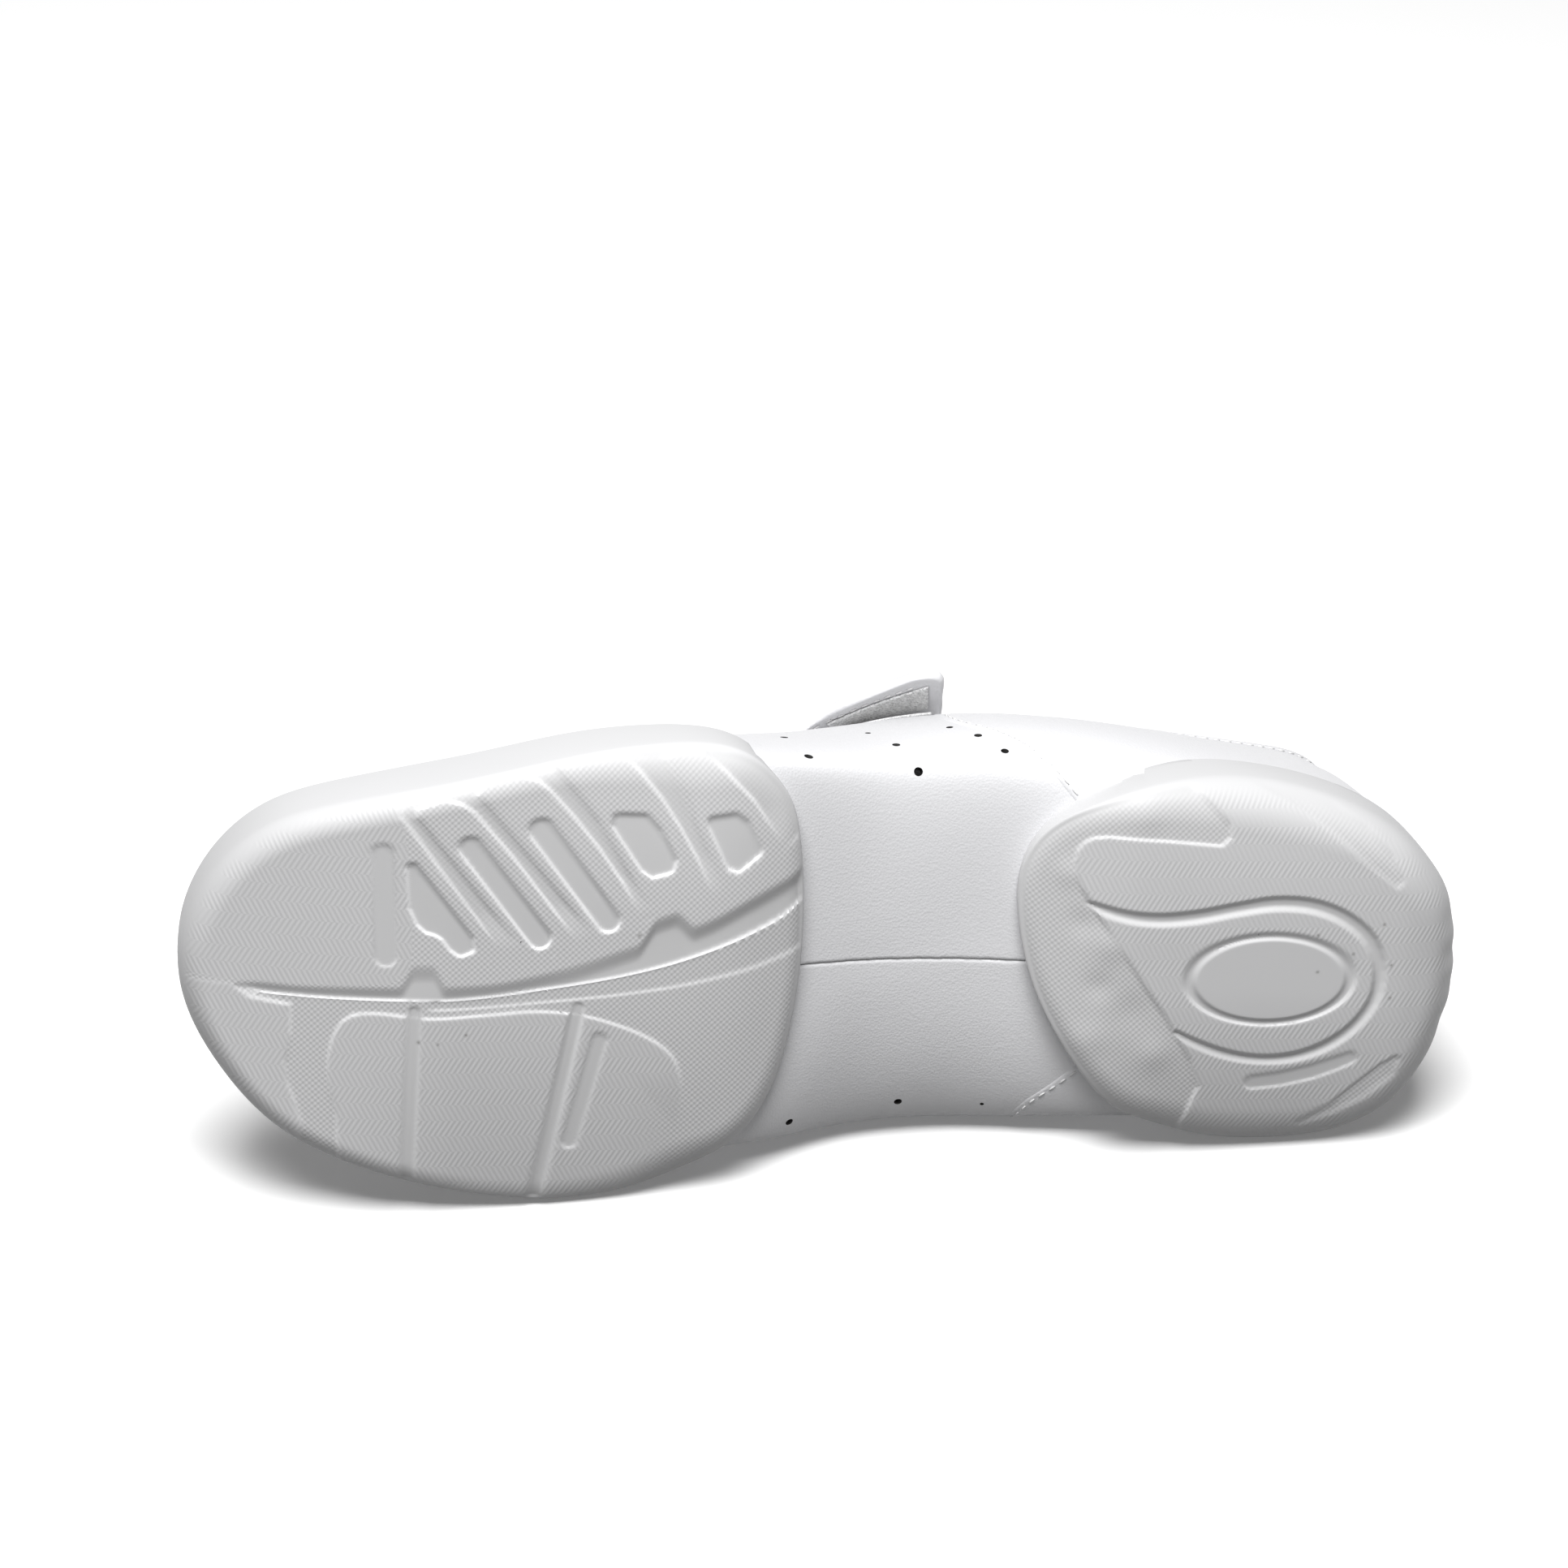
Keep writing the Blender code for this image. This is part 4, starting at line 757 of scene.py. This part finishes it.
def hiddenRings(table, centre, edge, inward, footZ):
    # Wall, lip and the hidden side against the leather, with small clearances in mm
    topZ = profile(table["top"], edge[:, 0])
    over = leatherOver(edge + inward * 0.4)
    waist = over < topZ
    topZ = np.maximum(np.where(waist, over - 0.05, topZ), footZ + 0.8)
    wall = []
    for share in np.linspace(0, 1, soleEdge["wallRings"] + 1)[1:]:
        plan = edge + inward * soleEdge["lean"] * share ** 2
        wall.append(np.column_stack([plan, footZ + (topZ - footZ) * share]))
    angle = np.arctan2(edge[:, 1] - centre[1], edge[:, 0] - centre[0])
    sides = wallPoint(np.linspace(0, loopCount, 961)[:, None], np.linspace(0, 0.5, 60)[None, :])
    heights = profile(table["top"], sides[:, 0, 0])
    contact = np.array([[np.interp(z, column[:, 2], column[:, i]) for i in (0, 1)]
                        for z, column in zip(heights, sides)])
    reach, reaches = np.linalg.norm(edge - centre, axis=1), []
    for curve in (contact - centre, footLine[:, :2] - centre):
        around = np.arctan2(curve[:, 1], curve[:, 0])
        pairs = sorted(zip(around, np.linalg.norm(curve, axis=1)))
        reaches.append(np.interp(angle, *zip(*pairs), period=2 * math.pi))
    contactReach = np.where(waist, reach - 1.2, np.minimum(reaches[0] + 0.1, reach - 1.0))
    footReach = np.where(waist, reach - 2.0, np.minimum(reaches[1], contactReach - 0.2))
    start = wall[-1]
    touch = np.column_stack([centre - inward * contactReach[:, None], np.where(waist, over, topZ)])
    crest = np.where(waist, 0.0, 0.45)
    for share, high in ((0.2, 0.8), (0.5, 1.0), (0.8, 0.75), (1.0, -0.3)):
        ring = start + (touch - start) * share
        ring[:, 2] += crest * high
        wall.append(ring)
    for share in (1.0, 0.9, 0.5, 0.0):
        plan = centre - inward * (footReach * share)[:, None]
        z = leatherOver(plan) if share else np.full(len(plan), profile(lastBottom, centre[0]))
        z = np.where(z > 50, profile(lastBottom, plan[:, 0]) + 2.5, z)
        wall.append(np.column_stack([plan, z - 0.1]))
    return np.array(wall)


def soleRings(table, distances, sharp, relief, dents=None):    # sharp names the edges that grid points meet
    def edges(plan):
        found = distances(plan)
        return np.array([found[key] for key in sharp])

    centre = np.array(table["centre"])
    points = [table["rear"]] + [(x, lateral) for x, medial, lateral in table["rows"]] + [table["tip"]]
    points += [(x, medial) for x, medial, lateral in reversed(table["rows"])]
    fine = loopThrough(points)(np.linspace(0, len(points), 4001))
    travelled = travelAlong(fine)
    even = np.linspace(0, travelled[-1], table["columns"] + 1)
    edge = np.column_stack([np.interp(even, travelled, fine[:, i]) for i in (0, 1)])
    inward, heading = unit(centre - edge), loopTangents(edge)
    square = np.column_stack([heading[:, 1], -heading[:, 0]])
    square = np.where(np.sum(square * inward, axis=1)[:, None] < 0, -square, square)
    places, bend = treadRings(table, centre, edge, square)
    footZ = places[-1, :, 2].copy()
    normals = gridNormals(places, True)
    normals = np.where((normals[40, 0, 2] > 0), -normals, normals)
    normals[:2] = (0, 0, -1)
    fromPole = np.linalg.norm(places[..., :2] - centre, axis=-1)
    calm = smoothStep((fromPole - soleEdge["still"]) / 2)
    places = drawnToEdges(places, edges, calm * smoothStep((soleEdge["meetTo"] - bend) / 20))
    plan = places[..., :2].copy()
    depth, marks = relief(plan)
    kept = smoothStep((soleEdge["reliefTo"] - bend) / 30)
    for key in ("herring", "pebble", "rim"):
        marks[key] = marks[key] * smoothStep((soleEdge["marksTo"] - bend) / 40)
    depth, marks["hollow"] = depth * kept, marks["hollow"] * kept
    if dents is not None:
        depth = depth + dents(places, bend)
    places = places - normals * depth[..., None]
    wall = hiddenRings(table, centre, edge, inward, footZ)
    places = np.concatenate([places, wall])
    plan = np.concatenate([plan, wall[..., :2]])
    places[:, -1] = places[:, 0]
    full = {"plan": np.concatenate([plan, np.zeros_like(plan[..., :1])], -1)}
    for key, values in marks.items():
        full[key] = np.concatenate([values, np.zeros(wall.shape[:2])])
    return places, full


def heelDents(places, bend):    # soft dents on the rear edge: place across the heel, size, depth
    x, y = places[..., 0], places[..., 1]
    dents = sum(deep * np.exp(-((y - side) / size) ** 2) for side, size, deep in
                ((9.5, 3.0, 0.25), (2.5, 2.6, 0.5), (-4.0, 3.0, 0.3), (-12.5, 3.4, 0.45)))
    return dents * np.exp(-(x / 7) ** 2) * smoothStep((bend - 15) / 30)


forefootSharp = ("grooveLow", "terrace", "toeMedial", "pod", "lateralLow", "lugs", "pockets", "pills")
heelSharp = ("low", "disc", "pill")
soles = (("forefootRubber", "forefoot_sole",
          soleRings(forefootUnit, forefootDistances, forefootSharp, forefootRelief)),
         ("heelRubber", "heel_sole", soleRings(heelUnit, heelDistances, heelSharp, heelRelief, heelDents)))
for name, node, rings in soles:
    sole = finishPiece(gridPiece(name, *rings), [rubber], "sole_rubber", node)
    sole.data.set_sharp_from_angle(angle=math.radians(36))    # crisp tread walls
print("rubber units made")


# Upper: outer skin of the last with its butt seam under the waist, given thickness inwards
upperLook = {"columns": 480, "seamRings": (0.0, 0.2, 0.45, 0.8, 1.4), "seamDeep": 0.32, "seamWide": 0.26,
             "thick": 2.0, "wallRings": 54,
             "underRings": (0.08, 0.16, 0.25, 0.34, 0.43, 0.52, 0.6, 0.68, 0.75, 0.81, 0.86, 0.9,
                            0.93, 0.955, 0.975, 0.988, 0.996)}


def upperGrid():
    look = upperLook
    line = np.linspace(0, loopCount, look["columns"] + 1)
    row, foot = lastParts(line)[:2]
    half = np.linalg.norm(foot[:, :2] - np.stack([row[:, 2], np.full(len(row), spineSide)], -1), axis=1)
    rings = [mm / half - 1 for mm in look["seamRings"]]
    rings += [np.full(len(line), share - 1) for share in look["underRings"]]
    rings += [np.full(len(line), share) for share in np.linspace(0, 1, look["wallRings"])]
    w = np.array(rings)
    line = np.broadcast_to(line, w.shape)
    places = skinPoint(line, w)
    normals = skinNormal(line, np.clip(w, -0.97, 0.98))
    normals[:len(look["seamRings"])] = (0, 0, -1)
    x, y, z = np.moveaxis(places, -1, 0)
    apart = np.abs(y - spineSide - 0.03 * np.sin(x * 0.9) - 0.03 * np.sin(x * 2.3 + 1))
    sewn = np.where(w < -0.4, np.exp(-(apart / look["seamWide"]) ** 2), 0)
    soft = 0.10 * np.sin(x / 9 + 1.2) * np.sin(z / 8 + y / 13)    # slight waves of soft leather
    soft = soft + 0.07 * np.sin(x / 5.1 + y / 7) * np.cos(z / 6.3)
    soft = soft * smoothStep((1 - w) / 0.1) * smoothStep((w + 0.97) / 0.1)
    places = places + normals * (soft - look["seamDeep"] * sewn)[..., None]
    places[:, -1] = places[:, 0]
    return places, {"seam": 0.9 * sewn ** 3}


def upperPiece():
    made = gridPiece("upperLeather", *upperGrid())
    solid = made.modifiers.new("leather thickness", "SOLIDIFY")
    solid.thickness, solid.offset = upperLook["thick"] * 0.001, -1
    solid.material_offset = 1
    solid.use_even_offset = False
    return finishPiece(made, [leather, lining], "upper_leather", "upper")


upper = upperPiece()

# Pinholes for air: section travel, height on the skin, radius
vents = ((7.24, 0.255, 0.8), (7.02, 0.025, 0.9), (6.28, 0.305, 0.6), (5.99, 0.15, 0.8),
         (5.81, -0.04, 0.9), (5.34, 0.315, 0.7), (5.08, 0.205, 0.8), (4.85, 0.065, 0.8),
         (16.98, -0.12, 0.8), (18.26, -0.155, 0.8), (19.2, -0.12, 0.4))


def ventCutter():
    bm = bmesh.new()
    for travel, w, radius in vents:
        out = lyingTurn @ skinNormal(travel, w)
        place = Vector(out.tolist()).to_track_quat("Z", "Y").to_matrix().to_4x4()
        place.translation = Vector(toFloor(skinPoint(travel, w)))
        bmesh.ops.create_cone(bm, segments=20, radius1=radius * 0.001, radius2=radius * 0.001, depth=0.008,
                              cap_ends=True, matrix=place)
    cutter = linked("ventCutter", meshFrom(bm, "ventCutter"))
    # Its dark material goes onto the hole walls: painted shade in the pinholes over a raw leather edge
    cutter.data.materials.append(rawEdgeAndHoleShade)
    return cutter


def cutVents(piece):
    cutter = ventCutter()
    holes = piece.modifiers.new("vents", "BOOLEAN")
    holes.operation, holes.solver, holes.object = "DIFFERENCE", "EXACT", cutter
    holes.material_mode = "TRANSFER"
    graph = bpy.context.evaluated_depsgraph_get()
    evaluated = piece.evaluated_get(graph)
    cutMesh = bpy.data.meshes.new_from_object(evaluated, preserve_all_data_layers=True, depsgraph=graph)
    piece.modifiers.clear()
    piece.data = cutMesh
    bpy.data.objects.remove(cutter, do_unlink=True)
    bm = bmesh.new()
    bm.from_mesh(cutMesh)
    for edge in bm.edges:
        if len(edge.link_faces) == 2 and edge.calc_face_angle() > math.radians(40):
            edge.smooth = False
    bm.to_mesh(cutMesh)
    bm.free()


cutVents(upper)
print("upper made:", len(upper.data.polygons), "faces")


# Binding rolled over the collar and throat edge
def bindingPiece():
    look = {"columns": 480, "around": 12, "half": (1.45, 1.7), "sink": (1.0, 0.4)}
    line = np.linspace(0, loopCount, look["columns"] + 1)
    top, out = wallPoint(line, 1.0), skinNormal(line, 0.97)
    rise = unit(np.cross(loopTangents(top), out))
    rise = np.where((rise[:, 2:] < 0), -rise, rise)
    middle = top - out * look["sink"][0] - rise * look["sink"][1]
    wide, tall = look["half"]
    places = np.array([middle + out * wide * math.cos(turn) + rise * tall * math.sin(turn)
                       for turn in np.linspace(0, 2 * math.pi, look["around"] + 1)])
    places[:, -1] = places[:, 0]
    return finishPiece(gridPiece("collarBinding", places), [leather], "upper_leather")


bindingPiece()

# Heel counter: thin overlay whose edges sink into the leather; front edges as height on the skin and travel
counterLook = {"lateral": ((-0.36, 3.6), (-0.08, 4.26), (-0.035, 4.37), (0.025, 4.55), (0.12, 4.67),
                           (0.235, 4.92), (0.35, 5.23), (0.62, 5.45)),
               "medial": ((-0.36, 3.85), (-0.24, 4.14), (-0.14, 4.39), (0.0, 4.6), (0.35, 5.1),
                          (0.62, 5.3)),
               "low": -0.36, "high": 0.62, "proud": 0.2, "sink": 0.15, "edgeMm": 1.1, "columns": 260,
               "rings": 60}


def counterPiece():
    look = counterLook
    w = np.linspace(look["low"], look["high"], look["rings"] + 1)
    even = np.linspace(-1, 1, look["columns"] + 1)
    across = np.sin(np.linspace(-math.pi / 2, math.pi / 2, look["columns"] + 1))
    across = 0.5 * across + 0.5 * even    # closer columns towards both ends
    ends = [profile(look[side], w)[:, None] for side in ("lateral", "medial")]
    line = np.where(across[None, :] > 0, across[None, :] * ends[0], across[None, :] * ends[1])
    heights = np.broadcast_to(w[:, None], line.shape)
    base, normals = skinPoint(line, heights), skinNormal(line, heights)
    fromStart, fromLow = travelAlong(base.swapaxes(0, 1)).T, travelAlong(base)
    fromEnd = fromStart[:, -1:] - fromStart
    edgeAway = np.minimum(np.minimum(fromStart, fromEnd), fromLow[-1:] - fromLow)
    proud = -look["sink"] + (look["proud"] + look["sink"]) * smoothStep(edgeAway / look["edgeMm"]) ** 0.5
    made = gridPiece("heelCounterLeather", base + normals * proud[..., None])
    solid = made.modifiers.new("overlay thickness", "SOLIDIFY")
    solid.thickness, solid.offset = 0.0006, -1
    return finishPiece(made, [leather], "upper_leather", "heel_counter")


counterPiece()
print("binding and counter made")

# Strap over the instep with its free end lifted on the lateral side
strapLook = {"rows": (5.3, 7.15), "sewn": 0.60, "freeRear": 0.72, "freeFront": 0.88, "crown": 7.0,
             "lift": 6.6, "longer": 0.34, "straighten": 5.0, "stand": 2.0, "taper": 0.25,
             "tapeAcross": (0.06, 0.68), "tapeAlong": (0.43, 0.94), "hookEnd": 0.82, "tapeHalf": 0.3,
             "half": 0.85, "endHalf": 1.2, "cornerMm": 5.0, "columns": 28, "steps": 96}


def freeShare(across, t):    # height on the skin along the free end
    rear, front = strapLook["freeRear"], strapLook["freeFront"]
    return 1 + (rear + (front - rear) * across - 1) * t


def strapSheet(across, v):    # across is 0 at the rear edge, 1 at the front; v is 0 sewn, 3 at the free end
    across, v = together(across, v)
    look = strapLook
    rear, front = look["rows"]
    lines = rear + across * (front - rear + look["longer"] * smoothStep(v - 2))
    sewn = wallPoint(loopCount - lines, look["sewn"] + (1 - look["sewn"]) * np.clip(v, 0, 1))
    a, b = wallPoint(loopCount - lines, 1.0), wallPoint(lines, 1.0)
    t = np.clip(v - 1, 0, 1)[..., None]
    peak = 0.5 * (a + b) + np.array([0, 0, look["crown"]])
    arch = (1 - t) ** 2 * a + 2 * t * (1 - t) * peak + t * t * b
    t = np.clip(v - 2, 0, 1.1)
    share, off = freeShare(across, t), 1 - across
    raised = (look["lift"] * off - look["straighten"] * across * off) * t * t
    taper, tape = np.minimum(off / look["taper"], 1), np.minimum(t / look["tapeAlong"][0], 1)
    raised = raised + look["stand"] * taper * tape
    free = wallPoint(lines, share) + skinNormal(lines, np.minimum(share, 0.97)) * raised[..., None]
    return np.where((v < 1)[..., None], sewn, np.where((v < 2)[..., None], arch, free))


def strapNormals(middle):
    normals = gridNormals(middle, False)
    return normals if normals[len(normals) // 2, middle.shape[1] // 2, 2] > 0 else -normals


def strapPieces():
    look = strapLook
    v = np.linspace(0, 3, look["steps"] + 1)[:, None]
    length = np.linalg.norm(strapSheet(0.0, 3.0) - strapSheet(0.0, 2.0))
    width = np.linalg.norm(strapSheet(1.0, 3.0) - strapSheet(0.0, 3.0))
    left = np.clip(look["cornerMm"] - (3 - v) * length, 0, look["cornerMm"])
    start = (look["cornerMm"] - np.sqrt(look["cornerMm"] ** 2 - left ** 2)) / width
    across = start + (1 - 1.6 * start) * np.linspace(0, 1, look["columns"] + 1)[None, :]
    sheet = strapSheet(across, v)
    for _ in range(3):    # softens the folds at the throat
        sheet[1:-1] = 0.25 * sheet[:-2] + 0.5 * sheet[1:-1] + 0.25 * sheet[2:]
    normals = strapNormals(sheet)
    half = look["half"] + (look["endHalf"] - look["half"]) * smoothStep((v[:, 0] - 2.55) / 0.4)
    middle = sheet + normals * (half + 0.3)[:, None, None]
    strap = gridPiece("strapLeather", roundedSlab(middle, normals, half))
    finishPiece(strap, [leather], "upper_leather", "strap")
    span = np.linspace(*look["tapeAcross"], 33)[None, :]
    hook = strapSheet(span, 2 + np.linspace(look["tapeAlong"][0], look["hookEnd"], 33)[:, None])
    hookOut = strapNormals(hook)
    lines = look["rows"][0] + span * (look["rows"][1] - look["rows"][0])
    share = freeShare(span, np.linspace(*look["tapeAlong"], 33)[:, None])
    patch, patchOut = wallPoint(lines, share), skinNormal(lines, np.minimum(share, 0.97))
    tapes = (("hookTape", hookTape, "hook_pad", hook, hookOut, -0.05),
             ("loopTape", loopTape, "loop_patch", patch, patchOut, 0.55))
    for name, tape, node, points, out, rise in tapes:
        slab = roundedSlab(points + out * rise, out, look["tapeHalf"], 2)
        finishPiece(gridPiece(name, slab), [tape], "hook_loop_tape", node)
    return middle, normals, half[:, None, None]


strapMiddle, strapOut, strapHalf = strapPieces()
print("strap and tapes made")


# Tongue under the throat and insole in the shoe, both plain textile over foam
def tonguePiece():
    look = {"rows": (6.1, 9.4), "tuck": 0.86, "rise": 1.5, "wall": 2.0, "half": 1.5}
    up = np.array([0, 0, look["rise"]])

    def tongueRow(row):
        lines = np.array([row, loopCount - row])
        edge = wallPoint(lines, 1.0) - skinNormal(lines, np.array([0.97, 0.97])) * (look["wall"] + 1.0)
        inwards = skinNormal(lines, np.array([look["tuck"]] * 2)) * (look["wall"] + 0.7)
        tuck = wallPoint(lines, look["tuck"]) - inwards
        peak = 0.5 * (edge[0] + edge[1]) + up
        half = [0.5 * (edge[k] + peak) + 0.3 * up for k in (0, 1)]
        return np.array([tuck[0], edge[0], half[0], peak, half[1], edge[1], tuck[1]])

    grid = [tongueRow(row) for row in np.linspace(*look["rows"], 8)]
    first, last = grid[0], grid[-1]
    for move, narrow in (((-11, 0, -5.5), 0.12), ((-19, 0, -0.5), 0.14)):
        grid.insert(0, first + np.array(move) - (first - first[3]) * np.array([0, narrow, 0]))
    grid.append(last + np.array([11, 0, -7.5]) - (last - last[3]) * np.array([0.5, 0.3, 0]))
    sheet = refined(np.array(grid), 70, 44)
    normals = strapNormals(sheet)
    slab = roundedSlab(sheet - normals * look["half"], normals, look["half"] * 0.97)
    return finishPiece(gridPiece("tongueTextile", slab), [lining], "lining_textile", "tongue")


def insolePiece():
    look = {"columns": 240, "wall": 2.4, "thick": 3.4, "edge": 0.9}
    line = np.linspace(0, loopCount, look["columns"] + 1)
    shares = np.concatenate([np.linspace(0, 0.8, 14), np.linspace(0.8, look["edge"], 6)[1:]])
    low = np.array([bottomPoint(line, s) for s in shares]) + np.array([0, 0, look["wall"]])
    thick = look["thick"] * np.sqrt(np.clip(1 - (shares / look["edge"]) ** 24, 0, 1))[:, None]
    high = low.copy()
    high[..., 2] += thick
    places = np.concatenate([low, high[::-1]])
    places[:, -1] = places[:, 0]
    return finishPiece(gridPiece("insoleTextile", places), [lining], "lining_textile", "insole")


tongue, insole = tonguePiece(), insolePiece()
print("tongue and insole made")


# Sewn lines: counter front, collar and throat, strap edges
def stitchPiece():
    look = {"length": 1.9, "gap": 0.8, "radius": 0.2, "rise": 0.08}
    bm = bmesh.new()
    w = np.linspace(-0.34, 0.56, 160)
    for side, key in ((1, "lateral"), (-1, "medial")):
        rows = side * (profile(counterLook[key], w) - 0.09)
        normals = skinNormal(rows, w)
        stitchRow(bm, skinPoint(rows, w) + normals * counterLook["proud"], normals, look)
    line = np.linspace(0, loopCount, 900)
    stitchRow(bm, skinPoint(line, 0.945), skinNormal(line, 0.95), look)
    upper, lower = strapMiddle + strapOut * strapHalf, strapMiddle - strapOut * strapHalf
    for column in (3, -4):
        stitchRow(bm, upper[:, column], strapOut[:, column], look)
    for row in (4, -5):
        stitchRow(bm, upper[row, 3:-3], strapOut[row, 3:-3], look)
        stitchRow(bm, lower[row, 3:-3], -strapOut[row, 3:-3], look)
    mesh = meshFrom(bm, "stitches")
    mesh.shade_smooth()
    return finishPiece(linked("stitches", mesh), [thread], "upper_leather")


stitchPiece()
print("stitches made")


# Floor, light and camera
def stagePieces():
    bm = bmesh.new()
    bmesh.ops.create_grid(bm, x_segments=1, y_segments=1, size=6.0)
    floor = linked("studioFloor", meshFrom(bm, "studioFloor"))
    # Matt white paper with a faint glow: the photo's ground is nearly bleached
    paper = {"Base Color": "#F6F6F6", "Roughness": 0.9, "Specular IOR Level": 0.1,
             "Emission Color": "#FFFFFF", "Emission Strength": 0.08}
    floor.data.materials.append(newMaterial("white paper sweep", paper)[0])
    floor.visible_diffuse = False    # the photo shows next to no bounce from the floor


def lightPieces():
    look = {"at": (-0.14, -0.43, 1.38), "aim": (0, 0.12, 0.04), "size": 0.85, "watts": 34.0, "world": 0.17}
    world = bpy.data.worlds.new("studio")
    bpy.context.scene.world = world
    world.use_nodes = True
    background = world.node_tree.nodes["Background"].inputs
    background["Color"].default_value = (1.0, 1.0, 1.0, 1.0)
    background["Strength"].default_value = look["world"]
    lamp = bpy.data.lights.new("overhead", "AREA")
    lamp.shape, lamp.size, lamp.energy = "SQUARE", look["size"], look["watts"]
    holder = linked("overhead", lamp)
    holder.location = look["at"]
    holder.rotation_euler = (Vector(look["aim"]) - Vector(look["at"])).to_track_quat("-Z", "Y").to_euler()


def cameraPiece():
    look = {"azimuth": -7.4, "elevation": 28.8, "distance": 1.15, "aim": (-0.0034, 0.0097, 0.0631),
            "lens": 133.5}
    a, e = math.radians(look["azimuth"]), math.radians(look["elevation"])
    back = Vector((math.sin(a) * math.cos(e), -math.cos(a) * math.cos(e), math.sin(e)))
    camera = bpy.data.cameras.new("camera")
    camera.lens, camera.sensor_width = look["lens"], 36.0
    camera.clip_start, camera.clip_end = 0.05, 30.0
    holder = linked("camera", camera)
    holder.location = Vector(look["aim"]) + back * look["distance"]
    holder.rotation_euler = back.to_track_quat("Z", "Y").to_euler()
    bpy.context.scene.camera = holder


stagePieces()
lightPieces()
cameraPiece()
bpy.context.scene.view_settings.view_transform = "Standard"
